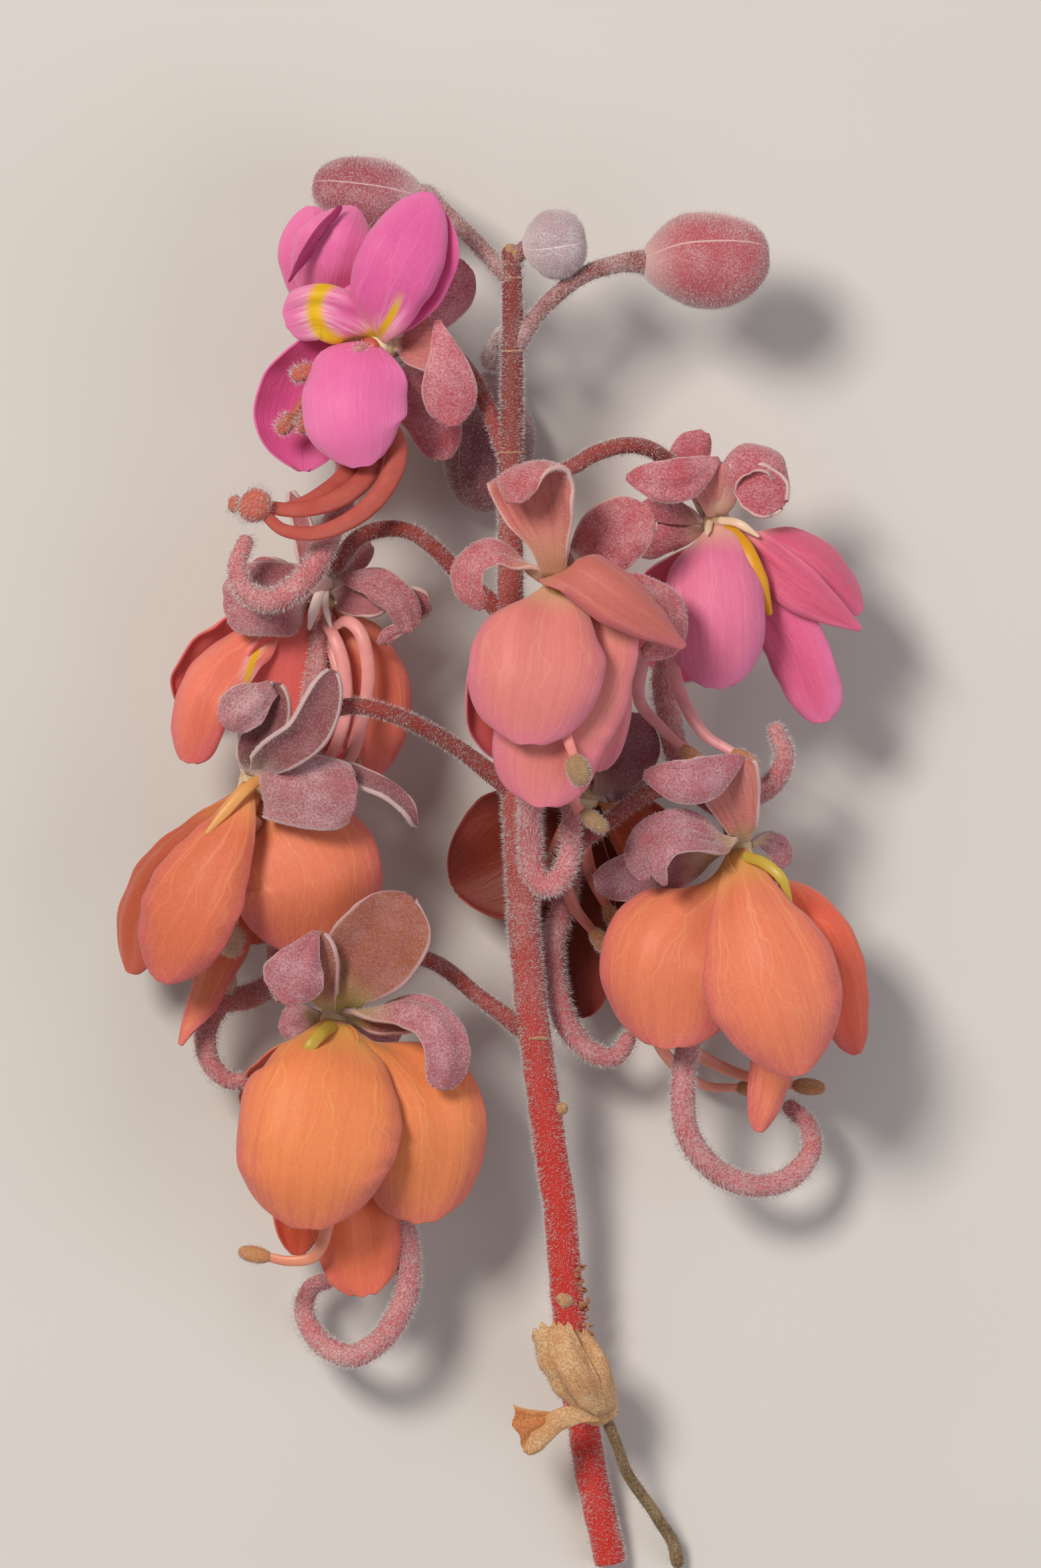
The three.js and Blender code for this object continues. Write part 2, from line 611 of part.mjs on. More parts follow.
// Flower g: orange, lowest on the right, with a yellow-green claw
const FLOWER_G = {
  centre: [17.3, 0.6, 12],
  axis: [0.15, -0.88, 0.45],
  pedicel: [
    [2.3, -2, 12.2], [3.4, -0.8, 12.8], [5.2, 0.6, 13.2], [8, 2.8, 14], [10.5, 4.6, 14.4],
    [13, 5.2, 14.2], [15.5, 3.9, 13.2],
  ],
  sepals: [
    {
      path: [[18, 3.2, 15], [16.2, 5.9, 16.6], [15, 7.1, 17.6], [13.7, 6.2, 19.2], [13, 4.4, 19.6]],
      width: 6,
      outline: FOLDED,
      facing: FORE,
    },
    {
      path: [[15.2, 2.6, 16], [12.5, 2.8, 17.2], [10.1, 1.2, 17], [10.3, -1.3, 16.6]],
      width: 3.4,
      outline: STRAP,
      facing: [-0.5, 0.6, 0.6],
    },
    {
      path: [[15, 1.2, 18], [12.8, 1.4, 19.8], [11.8, -0.2, 20], [12.2, -2, 19.4]],
      width: 3,
      outline: STRAP,
      facing: [-0.5, 0.6, 0.6],
    },
    { path: [[14.4, 0.4, 12.4], [11, -0.6, 11.6], [7.1, -1.3, 11]], width: 3.7, cup: 0.35 },
    { path: [[18.9, 1.5, 11.4], [20.2, 0.9, 10.4], [20.7, -0.2, 9.6]], width: 2 },
  ],
  petals: [
    {
      path: [[14.9, -2.8, 14.4], [12.3, -7, 16], [12, -13.2, 13.8]],
      width: 11.4,
      facing: [-0.2, 0, 1],
    },
    { path: [[18.2, -3.6, 17.8], [19.8, -8.5, 20], [21.4, -14.9, 17.4]], width: 11.4, cup: 0.7 },
    {
      path: [[21.2, -2.2, 12], [24.3, -6.5, 12.4], [25.8, -13.7, 10]],
      width: 5.6,
      facing: [0.6, 0, 0.7],
    },
    { path: [[18.6, -7, 8.6], [19.4, -13, 8.4], [19, -19.1, 7.8]], width: 5 },
    { path: [[16.7, -3, 6.4], [16.4, -7.2, 1.2], [16.4, -11.6, -0.8]], width: 9, facing: DOWN },
  ],
  stamens: [
    {
      path: [
        [15, -5, 9.6], [12.8, -11, 6.6], [14, -13.4, 5.8], [16.6, -14.9, 5], [19.6, -15.8, 4.6],
        [21.4, -16, 4.6],
      ],
    },
    {
      path: [
        [14.4, -6, 9], [11.4, -12, 5.6], [12.6, -14.4, 4.6], [14.8, -16, 3.8], [17.4, -16.2, 3.6],
      ],
    },
    { path: [[18, -3, 13.4], [18, -7, 12.8]] },
    { path: [[17.6, -3, 14.6], [18.4, -7.4, 14.8]] },
  ],
  pistil: [
    [16.3, -3.8, 12.9], [14.8, -8.6, 11.2], [13.6, -13.5, 9.6], [13.3, -16.4, 9.4],
    [13.7, -19.5, 9], [15.5, -21.9, 8.2], [18.4, -23.1, 7.2], [21, -22.5, 6.4], [22.5, -20.5, 5.6],
    [22.1, -18.6, 4.8], [21, -17.6, 4.2],
  ],
};

// Flower h: orange, behind the stem, opening downward
const FLOWER_H = {
  centre: [6.5, 4.5, 6],
  axis: [-0.15, -0.97, -0.15],
  pedicel: [[1.3, 8.4, 13], [3, 9.8, 10.6], [5, 9.4, 8.2]],
  sepals: [
    { path: [[8.6, 6.4, 7.4], [9.4, 8.2, 8], [10.6, 10.2, 8]], width: 4.8, cup: 0.3 },
    { path: [[4.6, 6, 7], [2.6, 7.4, 7.4]], width: 3 },
    { path: [[6.6, 7, 4.4], [6.6, 10, 3.6]], width: 3.6 },
    { path: [[8.4, 5, 4.6], [10.6, 5.6, 3.6]], width: 3 },
  ],
  petals: [
    {
      path: [[4.1, 3.2, 5.4], [0.8, 0.2, 5.8], [-3, -2, 5.6]],
      width: 9.2,
      cup: 0.35,
      facing: DOWN,
    },
    { path: [[6, 0, 4.8], [5.9, -5.5, 4.6], [6.2, -11.2, 3.8]], width: 5.8, facing: DOWN },
    { path: [[9, 3.3, 6.2], [11, 1.2, 6.4], [12, -2, 5.6]], width: 5 },
    { path: [[8, 0, 3.4], [8.8, -5, 2.6], [8.6, -9.5, 1.8]], width: 4.8, facing: DOWN },
    { path: [[5.2, 2.2, 3], [3.4, 0, 0.7], [2.2, -3.6, -0.5]], width: 6, facing: DOWN },
  ],
  stamens: [
    { path: [[5.8, 2, 9], [4.9, -0.8, 10.5], [5.6, -3.3, 10.5], [7, -5.1, 10]] },
    { path: [[6.2, 1.6, 8.6], [6.8, -1, 9], [8, -3.4, 8.8]] },
    { path: [[5, 2.4, 8.8], [3.8, 0.2, 9.4]] },
  ],
  pistil: [
    [5.8, 0.5, 7.4], [4.9, -3, 8.6], [4.1, -6, 8.6], [4.3, -9, 8.2], [5.3, -12, 7.6], [7, -13.7, 7],
    [8.6, -13.9, 6.8], [9.4, -12.8, 6.6],
  ],
};

const FLOWERS = {
  a: FLOWER_A,
  b: FLOWER_B,
  c: FLOWER_C,
  d: FLOWER_D,
  e: FLOWER_E,
  f: FLOWER_F,
  g: FLOWER_G,
  h: FLOWER_H,
};

// The stem's middle line from the cut to the tip, and the raised marks on it
const RACHIS = [
  [8.2, -50, 1.1], [6.9, -44, 2.2], [5.6, -36, 3.8], [5, -30, 5.2], [4.6, -25, 6.4], [3.7, -19, 8],
  [2.9, -13, 9.6], [2.4, -9, 10.6], [2, -4, 11.8], [1.8, 0, 12.6], [1.4, 7, 13.4], [1.1, 17, 13.9],
  [1.1, 27.6, 14], [1.2, 34, 14], [1.2, 40, 14], [1.1, 43, 14],
];
const STEM_MARKS = [
  { centre: [4.7, -17.4, 8.6], size: [0.7, 0.6, 0.7] },
  { centre: [5.3, -30.4, 5.9], size: [0.9, 0.9, 0.9] },
  { centre: [6, -31.2, 5.3], size: [0.6, 0.9, 0.6] },
  { centre: [2.1, -12.9, 10.1], size: [0.8, 0.5, 0.8] },
  { centre: [1.9, 36.2, 14.3], size: [0.7, 0.5, 0.7] },
  { centre: [0.8, 28.5, 14.3], size: [0.8, 0.5, 0.8] },
  { centre: [0.6, 41.3, 14.1], size: [0.6, 0.5, 0.6] },
];

// Buds: the stalk's points, then the two ends of the bud and its radius
const BUDS = [
  {
    stalk: [[1, 41.3, 14], [-2.3, 44.8, 10.6], [-5, 47.1, 8]],
    ends: [[-5.4, 47.5, 7.8], [-12.9, 48, 7]],
    radius: 2.25,
  },
  {
    stalk: [[1.1, 42.4, 14], [2, 43.3, 14.2]],
    ends: [[2.3, 43.5, 14.4], [6.4, 44, 14.7]],
    radius: 2.45,
  },
  {
    stalk: [[1.3, 36.4, 14], [3.8, 39.6, 14], [6.5, 41.6, 14], [9.3, 42.4, 13.6], [11, 42.4, 13.2]],
    ends: [[11.2, 42.4, 13.2], [19.3, 42.8, 12.4]],
    radius: 3.3,
  },
  {
    stalk: [[1.2, 37.6, 13.6], [0.4, 37, 11], [-0.1, 35.6, 6]],
    ends: [[-0.2, 34.8, 4.5], [-0.8, 24.8, 2.4]],
    radius: 3.4,
  },
];

// The withered flower: a dried calyx against the stem, its wing and its own stalk
const WITHERED = {
  body: { ends: [[5.6, -32.9, 8.6], [6.4, -40, 6.6]], radius: 2.1 },
  wing: {
    path: [[5.6, -38.6, 7.8], [4.6, -39, 8], [2.9, -39.6, 8.2], [1.4, -40.4, 8]],
    width: 3.8,
  },
  stalk: [
    [6.9, -38.6, 6.8], [7.9, -40.2, 6.4], [9.4, -42.8, 4.6], [11.5, -46.1, 2.6], [12.9, -49.9, 1],
  ],
  stalkRadius: [0.5, 0.45, 0.5, 0.55],
};

// The turn that takes +Y to a unit vector
function turnFromY(unit) {
  return new THREE.Quaternion().setFromUnitVectors(new THREE.Vector3(0, 1, 0), unit);
}

// A round disc on a flower's axis between two heights
function disc({ from, to, radius }, centre, axis) {
  const geometry = new THREE.CylinderGeometry(radius, radius, to - from, DISC_SIDES);
  geometry.translate(0, (from + to) / 2, 0);
  geometry.applyQuaternion(turnFromY(axis));
  geometry.translate(...centre.toArray());
  return solidOfGeometry(geometry);
}

// Where a blade or filament leaves its disc, toward the first point of its path
function rootOn({ height, radius }, path, centre, axis) {
  const outward = squareTo(vector(path[0]).sub(centre), axis);
  const place = centre.clone().addScaledVector(axis, height).addScaledVector(outward, radius);
  const clawSide = new THREE.Vector3().crossVectors(axis, outward).normalize();
  return { place: place.toArray(), clawSide };
}

// A ring of blades on their disc
function bladeRing(blades, root, base, centre, axis, outline) {
  const solids = blades.map((options) => {
    const { place, clawSide } = rootOn(root, options.path, centre, axis);
    return blade([place, ...options.path], { outline, ...options }, clawSide);
  });
  return join([disc(base, centre, axis), ...solids]);
}

// A plump closed body between two ends, round across
function plumpBody(ends, radius, { sides, rings }) {
  const length = vector(ends[0]).distanceTo(vector(ends[1]));
  const profile = Array.from({ length: rings }, (_, i) => {
    const angle = (Math.PI * i) / (rings - 1);
    return new THREE.Vector2(radius * Math.sin(angle), (-length / 2) * Math.cos(angle));
  });
  profile[0].x = 0;
  profile[rings - 1].x = 0;
  const geometry = new THREE.LatheGeometry(profile, sides);
  const direction = vector(ends[1]).sub(vector(ends[0])).normalize();
  geometry.applyQuaternion(turnFromY(direction));
  geometry.translate(...vector(ends[0]).add(vector(ends[1])).multiplyScalar(0.5).toArray());
  return solidOfGeometry(geometry);
}

// A filament from the stamen disc with its anther at the end
function stamen({ path }, centre, axis) {
  const { place } = rootOn(STAMEN_ROOT, path, centre, axis);
  const isLong = path.length > 2;
  const rise = vector(place).addScaledVector(axis, STAMEN_RISE).toArray();
  const points = [place, rise, ...path];
  const rings = path.length + 2;
  const filament = limb(points, FILAMENT_RADIUS, FILAMENT_SIDES, rings);
  const end = vector(path[path.length - 1]);
  const direction = end.clone().sub(vector(points[points.length - 2])).normalize();
  const reach = isLong ? ANTHER.long : ANTHER.short;
  const ends = [
    end.clone().addScaledVector(direction, -ANTHER.sunk).toArray(),
    end.clone().addScaledVector(direction, reach).toArray(),
  ];
  return filament.add(plumpBody(ends, ANTHER.radius, ANTHER));
}

// A thin stalk of even thickness through points
const stalkThrough = (points) =>
  limb(points, [PEDICEL_RADIUS, PEDICEL_RADIUS], THIN_LIMB_SIDES, points.length);

// The stem with its marks, the stalks of the flowers and those of the buds
function rachisAndPedicels() {
  const rachis = limb(RACHIS, RACHIS_RADIUS, RACHIS_SIDES, RACHIS_RINGS);
  const marks = STEM_MARKS.map(({ centre, size }) => {
    const geometry = new THREE.OctahedronGeometry(1, 0);
    geometry.scale(...size);
    geometry.translate(...centre);
    return solidOfGeometry(geometry);
  });
  const pedicels = Object.values(FLOWERS).map(({ centre, axis, pedicel }) => {
    const unit = vector(axis).normalize();
    const approach = vector(centre).addScaledVector(unit, PEDICEL_END - PEDICEL_APPROACH).toArray();
    const end = vector(centre).addScaledVector(unit, PEDICEL_END).toArray();
    return stalkThrough([...pedicel, approach, end]);
  });
  const stalks = BUDS.map(({ stalk }) => stalkThrough(stalk));
  return join([rachis, ...marks, ...pedicels, ...stalks]);
}

// The dried calyx with its wing and stalk, in one piece
function witheredFlower({ body, wing, stalk, stalkRadius }) {
  const clawSide = new THREE.Vector3(0, 1, 0);
  return join([
    plumpBody(body.ends, body.radius, DRY_BODY_MESH),
    blade(wing.path, wing, clawSide),
    limb(stalk, stalkRadius, THIN_LIMB_SIDES, DRY_STALK_RINGS),
  ]);
}

const FINISHES = {
  felted_stem: { color: '#9c4038', roughness: 0.85 },
  felted_sepal: { color: '#b8707a', roughness: 0.9 },
  petal_pink: { color: '#e8609e', roughness: 0.5 },
  petal_salmon: { color: '#e88078', roughness: 0.5 },
  petal_coral: { color: '#e8705a', roughness: 0.5 },
  petal_orange: { color: '#f08a58', roughness: 0.5 },
  stamen: { color: '#e08a80', roughness: 0.6 },
  furry_pistil: { color: '#d89098', roughness: 0.95 },
  dry_flower: { color: '#b08860', roughness: 0.8 },
};

const PETAL_FINISH = {
  a: 'petal_pink',
  b: 'petal_pink',
  c: 'petal_salmon',
  d: 'petal_coral',
  e: 'petal_orange',
  f: 'petal_orange',
  g: 'petal_orange',
  h: 'petal_orange',
};

const materials = Object.fromEntries(
  Object.entries(FINISHES).map(([name, finish]) => [
    name,
    new THREE.MeshStandardMaterial({ name, metalness: 0, ...finish }),
  ]),
);

const group = new THREE.Group();
group.name = 'flower_raceme';

// Adds a named mesh of a solid to the group
function addMesh(name, solid, finish) {
  const { vertProperties, triVerts } = solid.getMesh();
  const geometry = new THREE.BufferGeometry();
  geometry.setAttribute('position', new THREE.BufferAttribute(vertProperties, 3));
  geometry.setIndex(new THREE.BufferAttribute(triVerts, 1));
  geometry.computeVertexNormals();
  const mesh = new THREE.Mesh(geometry, materials[finish]);
  mesh.name = name;
  group.add(mesh);
}

addMesh('stem', rachisAndPedicels(), 'felted_stem');

for (const [letter, flower] of Object.entries(FLOWERS)) {
  const centre = vector(flower.centre);
  const axis = vector(flower.axis).normalize();
  const { sepals, petals, stamens, pistil } = flower;
  const foot = centre.clone().addScaledVector(axis, PISTIL_FOOT).toArray();
  const rise = centre.clone().addScaledVector(axis, PISTIL_FOOT + PISTIL_RISE).toArray();
  addMesh(
    `calyx_${letter}`,
    bladeRing(sepals, SEPAL_ROOT, RECEPTACLE, centre, axis, SEPAL),
    'felted_sepal',
  );
  addMesh(
    `corolla_${letter}`,
    bladeRing(petals, PETAL_ROOT, PETAL_DISC, centre, axis, PETAL),
    PETAL_FINISH[letter],
  );
  addMesh(
    `stamens_${letter}`,
    join([disc(STAMEN_DISC, centre, axis), ...stamens.map((one) => stamen(one, centre, axis))]),
    'stamen',
  );
  addMesh(
    `pistil_${letter}`,
    limb([foot, rise, ...pistil], PISTIL_RADIUS, THIN_LIMB_SIDES, pistil.length + 2),
    'furry_pistil',
  );
}

BUDS.forEach((one, i) => {
  addMesh(`bud_${i + 1}`, plumpBody(one.ends, one.radius, BUD_MESH), 'felted_sepal');
});
addMesh('withered_flower', witheredFlower(WITHERED), 'dry_flower');

export default group;
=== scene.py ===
import bpy
import numpy as np
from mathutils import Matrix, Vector


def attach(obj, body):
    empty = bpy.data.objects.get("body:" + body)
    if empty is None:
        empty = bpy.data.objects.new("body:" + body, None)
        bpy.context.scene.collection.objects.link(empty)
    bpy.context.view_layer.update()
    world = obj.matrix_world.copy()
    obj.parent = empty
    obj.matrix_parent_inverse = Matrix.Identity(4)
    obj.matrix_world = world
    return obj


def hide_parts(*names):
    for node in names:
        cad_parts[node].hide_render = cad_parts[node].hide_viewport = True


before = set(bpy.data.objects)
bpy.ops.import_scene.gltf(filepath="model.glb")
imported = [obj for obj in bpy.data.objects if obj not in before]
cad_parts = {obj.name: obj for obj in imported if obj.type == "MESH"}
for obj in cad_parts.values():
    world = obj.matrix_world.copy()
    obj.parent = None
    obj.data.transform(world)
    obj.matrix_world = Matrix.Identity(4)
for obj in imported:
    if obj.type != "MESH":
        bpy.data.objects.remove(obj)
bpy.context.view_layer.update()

# The studio
# The raceme lies on a plain pale table. A broad soft lamp on the upper left, a weaker one on the
# right and an even pale sky light it, and the camera looks straight down from far above.
MM = 0.001
VIEW_CENTRE = (1.786, 5.43)
VIEW_HEIGHT = 110.97
FLOWER_LEVEL = 17
CAMERA_DISTANCE = 2500
SENSOR = 36
TABLE_HALF = 1.2
TABLE_DROP = 0.05
scene = bpy.context.scene


def linear(hex_colour):
    """An sRGB hex colour as linear red, green and blue with full alpha, by the sRGB formula."""
    channels = np.array([int(hex_colour[i : i + 2], 16) for i in (1, 3, 5)]) / 255
    dark = channels / 12.92
    light = ((channels + 0.055) / 1.055) ** 2.4
    return (*np.where(channels <= 0.04045, dark, light).tolist(), 1.0)


def add(tree, kind, inputs, **settings):
    """A node of a kind with its settings. Its inputs stand in the node's own order or by name.
    Each takes a value, a socket to link, or a node whose first live socket is linked.
    """
    node = tree.nodes.new("ShaderNode" + kind)
    for name, value in settings.items():
        setattr(node, name, value)
    for name, value in inputs.items() if isinstance(inputs, dict) else enumerate(inputs):
        if isinstance(value, bpy.types.Node):
            value = next(socket for socket in value.outputs if socket.enabled)
        if isinstance(value, bpy.types.NodeSocket):
            tree.links.new(value, node.inputs[name])
        else:
            node.inputs[name].default_value = value
    return node


def new_finish(name):
    """A material, its tree, and the places on a piece in millimetres."""
    material = bpy.data.materials.new(name)
    material.use_nodes = True
    tree = material.node_tree
    places = add(tree, "TexCoord", []).outputs["Object"]
    return material, tree, add(tree, "Mapping", {"Vector": places, "Scale": (1 / MM,) * 3})


def finished(material, colour, layers, values, relief=None):
    """The material with its first colour, tints laid over it in turn by their shares, a relief,
    and values for the surface.
    """
    tree = material.node_tree
    surface = tree.nodes["Principled BSDF"]
    colour = linear(colour)
    for share, tint in layers:
        colour = add(tree, "Mix", {0: share, 6: colour, 7: linear(tint)}, data_type="RGBA")
    tree.links.new(colour.outputs[2], surface.inputs["Base Color"])
    if relief:
        tree.links.new(relief.outputs["Normal"], surface.inputs["Normal"])
    for name, value in values.items():
        surface.inputs[name].default_value = value
    return material


def lamp(name, place, size, power, colour):
    """A square soft lamp at a place in metres, turned to the raceme's middle."""
    light = bpy.data.lights.new(name, "AREA")
    light.size = size
    light.energy = power
    light.color = linear(colour)[:3]
    holder = bpy.data.objects.new(name, light)
    holder.location = place
    holder.rotation_euler = (-Vector(place)).to_track_quat("-Z", "Y").to_euler()
    scene.collection.objects.link(holder)


camera = bpy.data.objects.new("camera", bpy.data.cameras.new("camera"))
camera.data.sensor_width = SENSOR
camera.data.lens = SENSOR * CAMERA_DISTANCE / VIEW_HEIGHT
camera.data.clip_end = 10
camera.location = [x * MM for x in (*VIEW_CENTRE, CAMERA_DISTANCE + FLOWER_LEVEL)]
scene.collection.objects.link(camera)
scene.camera = camera

lamp("broad_lamp", (-0.42, 0.4, 1.0), 0.3, 10.2, "#fff7ee")
lamp("side_lamp", (0.7, -0.2, 0.7), 0.8, 2.6, "#f2f4ff")
scene.world = scene.world or bpy.data.worlds.new("sky")
scene.world.use_nodes = True
sky = scene.world.node_tree.nodes["Background"]
sky.inputs["Color"].default_value = linear("#f4f3f1")
sky.inputs["Strength"].default_value = 0.3
scene.view_settings.view_transform = "Standard"

# Matt painted table: a pale warm grey with a faint unevenness that keeps it from looking blank.
table_finish, tree, places = new_finish("matt_painted_table")
mottle = add(tree, "TexNoise", {"Vector": places, "Scale": 0.03})
finished(table_finish, "#cfcbc6", [(mottle, "#d6d3ce")], {"Roughness": 0.85, "IOR": 1.45})
table_mesh = bpy.data.meshes.new("table")
corners = [(x * TABLE_HALF, y * TABLE_HALF) for x, y in ((-1, -1), (1, -1), (1, 1), (-1, 1))]
table_mesh.from_pydata([(*corner, -TABLE_DROP * MM) for corner in corners], [], [(0, 1, 2, 3)])
table_mesh.materials.append(table_finish)
table = bpy.data.objects.new("table", table_mesh)
scene.collection.objects.link(table)

# The stem
# One felted stalk, the rachis, from the cut to the growing tip, with a thinner stalk to each
# flower and bud. All of it is brick red under a dense coat of short white hairs, and it has pale
# rings and small tan scars where stalks stand or have dropped off.

# Each flower: where it stands, the way it opens, and the points of its stalk
FLOWERS = {
    "a": dict(centre=(-8.3, 36.3, 15), axis=(-0.6, -0.1, 0.79), pedicel=[(0.9, 28.7, 14),
        (-1.7, 34.4, 12.4), (-4, 36.6, 10.8)]),
    "b": dict(centre=(15.8, 23.6, 12), axis=(0.15, -0.85, 0.5), pedicel=[(1.1, 25.5, 13.9),
        (3.5, 27, 14), (5.5, 27.9, 14), (7, 28.8, 14), (9, 29.4, 13.4), (10.7, 29.3, 12.4),
        (12.6, 28.1, 10.8)]),
    "c": dict(centre=(4.3, 19.2, 23), axis=(-0.05, -0.88, 0.47), pedicel=[(1.1, 27, 14.2),
        (2.4, 26.6, 16.4), (3.7, 24.6, 19.2)]),
    "d": dict(centre=(-12.3, 18.4, 10), axis=(-0.05, -0.9, 0.4), pedicel=[(1.1, 17, 13.8),
        (-2.7, 20.5, 13.6), (-4.5, 22.3, 14), (-6, 23.3, 14.2), (-8, 23.5, 14.2),
        (-9.8, 22.8, 13.6), (-11.3, 21, 12.2)]),
    "e": dict(centre=(-17.3, 5.3, 13), axis=(-0.25, -0.85, 0.45), pedicel=[(1.3, 5, 13.2),
        (-0.3, 6.2, 14), (-3, 8.2, 15.4), (-5.5, 9.6, 17), (-8, 10.6, 18), (-10.7, 10.9, 18),
        (-14, 9.2, 16.6)]),
    "f": dict(centre=(-11.5, -11.5, 12), axis=(-0.1, -0.9, 0.42), pedicel=[(2.4, -12.3, 9.6),
        (1.2, -11.4, 9.9), (-1, -9.8, 10), (-4.2, -7.3, 10.4), (-8, -6.6, 10.6)]),
    "g": dict(centre=(17.3, 0.6, 12), axis=(0.15, -0.88, 0.45), pedicel=[(2.3, -2, 12.2),
        (3.4, -0.8, 12.8), (5.2, 0.6, 13.2), (8, 2.8, 14), (10.5, 4.6, 14.4), (13, 5.2, 14.2),
        (15.5, 3.9, 13.2)]),
    "h": dict(centre=(6.5, 4.5, 6), axis=(-0.15, -0.97, -0.15), pedicel=[(1.3, 8.4, 13),
        (3, 9.8, 10.6), (5, 9.4, 8.2)]),
}
RACHIS = [(8.2, -50, 1.1), (6.9, -44, 2.2), (5.6, -36, 3.8), (5, -30, 5.2), (4.6, -25, 6.4),
    (3.7, -19, 8), (2.9, -13, 9.6), (2.4, -9, 10.6), (2, -4, 11.8), (1.8, 0, 12.6), (1.4, 7, 13.4),
    (1.1, 17, 13.9), (1.1, 27.6, 14), (1.2, 34, 14), (1.2, 40, 14), (1.1, 43, 14)]
BUD_STALKS = {
    "bud_1": [(1, 41.3, 14), (-2.3, 44.8, 10.6), (-5, 47.1, 8)],
    "bud_2": [(1.1, 42.4, 14), (2, 43.3, 14.2), (2.7, 43.6, 14.4)],
    "bud_3": [(1.3, 36.4, 14), (3.8, 39.6, 14), (6.5, 41.6, 14), (9.3, 42.4, 13.6),
        (11.4, 42.4, 13.2)],
    "bud_4": [(1.2, 37.6, 13.6), (0.4, 37, 11), (-0.1, 35.6, 6)],
}
# Radii from foot to tip
RACHIS_RADIUS = [1.12, 1.12, 1.15, 1.15, 1.12, 1.12, 1.08, 0.95, 0.85, 0.78, 0.7]
PEDICEL_RADIUS = [0.78, 0.62, 0.58, 0.58, 0.6, 0.64, 0.85]
BUD_STALK_RADIUS = [0.74, 0.6, 0.58, 0.6, 0.68, 0.95]
# A flower's stalk ends this far up its axis, after a straight stretch along it
PEDICEL_END = -1.15
PEDICEL_APPROACH = 1.5
# A direction that no limb runs along, from which rings of points start
SKEW = (0.31, 0.17, 0.93)
# Steps between a limb's rings, and the angles of the rings that dome its ends
STEM_GAP = 0.28
STALK_GAP = 0.25
DOME_ANGLES = np.radians([28, 52, 72, 86])
# Steps of a smooth line between two of its points, and the least height above the table
LINE_STEPS = 48
TABLE_CLEARANCE = 0.01
# Each scar and scale at the tip: its middle, and its size across, along and high
SCARS = [((4.7, -17.6, 8.9), (0.5, 0.45, 0.5)), ((4.95, -31.2, 5.95), (0.6, 0.62, 0.3)),
    ((3.0, -12.6, 10.1), (0.95, 0.18, 0.98)), ((1.3, 36.1, 14), (0.9, 0.16, 0.9)),
    ((1.1, 28.9, 14), (0.98, 0.16, 0.98)), ((1.2, 41.3, 14), (0.82, 0.14, 0.82)),
    ((3.2, 26.2, 14), (0.3, 0.3, 0.3))]
TIP_SCALES = [((1.0, 43.3, 14.4), (0.34, 0.42, 0.36)), ((1.4, 43, 14.5), (0.28, 0.34, 0.3))]
# Orange-brown crumbs of scurf that cling to the stem's right side above the withered flower
CRUMBS = 26
CRUMBS_FROM, CRUMBS_TO = (5.75, -28.3, 6.2), (6.75, -34, 5.2)
CRUMB_SPREAD = (0.22, 0.2, 0.35)
CRUMB_SIZE = (0.13, 0.27)
# How far hairs stray from their lie, the shares of their length that they reach, and how deep
# they root
HAIR_STRAY = 0.3
HAIR_REACH = (0.55, 1.15)
HAIR_ROOT = 0.04
SMOOTH = {"interpolation_type": "SMOOTHSTEP"}


def unit(vectors):
    """The vectors at length 1."""
    return vectors / np.maximum(np.linalg.norm(vectors, axis=-1, keepdims=True), 1e-9)


def square_to(vectors, directions):
    """What is left of vectors square to unit directions, at length 1."""
    return unit(vectors - (vectors * directions).sum(-1, keepdims=True) * directions)


def rise(low, high, x):
    """0 below low and 1 above high, with an S-shaped rise between: 3 s squared less 2 s cubed."""
    share = np.clip((x - low) / (high - low), 0, 1)
    return share * share * (3 - 2 * share)


def line_through(points, shares):
    """Places and directions at shares of the length of a smooth line through points. It is a
    Catmull-Rom line whose knots stand as far apart as the square root of the points' distances.
    """
    knots = np.array(points, float)
    knots = np.vstack([2 * knots[0] - knots[1], knots, 2 * knots[-1] - knots[-2]])
    gaps = np.sqrt(np.maximum(np.linalg.norm(np.diff(knots, axis=0), axis=1), 1e-6))
    before, here, after = gaps[:-2, None], gaps[1:-1, None], gaps[2:, None]
    a, b, c, d = knots[:-3], knots[1:-2], knots[2:-1], knots[3:]
    leave = here * ((b - a) / before - (c - a) / (before + here)) + (c - b)
    arrive = (c - b) - here * ((d - b) / (here + after) - (d - c) / after)
    s = np.linspace(0, 1, LINE_STEPS, endpoint=False)[None, :, None]
    b, c, leave, arrive = (x[:, None, :] for x in (b, c, leave, arrive))
    square = 3 * (c - b) - 2 * leave - arrive
    cube = 2 * (b - c) + leave + arrive
    dense = (b + leave * s + square * s**2 + cube * s**3).reshape(-1, 3)
    dense = np.vstack([dense, knots[-2]])
    reach = np.concatenate([[0], np.cumsum(np.linalg.norm(np.diff(dense, axis=0), axis=1))])
    heading = unit(np.gradient(dense, reach, axis=0))
    wanted = np.asarray(shares) * reach[-1]
    places, directions = (
        np.stack([np.interp(wanted, reach, values[:, k]) for k in range(3)], axis=-1)
        for values in (dense, heading)
    )
    return places, unit(directions), reach[-1]


def carried(directions, facing, middle):
    """Vectors square to a line's directions: facing at the middle one, and from there on each
    is the last one with what points along the line taken out.
    """
    normals = np.zeros_like(directions)
    normals[middle] = square_to(np.array(facing, float), directions[middle])
    for i in range(middle + 1, len(directions)):
        normals[i] = square_to(normals[i - 1], directions[i])
    for i in range(middle - 1, -1, -1):
        normals[i] = square_to(normals[i + 1], directions[i])
    return normals


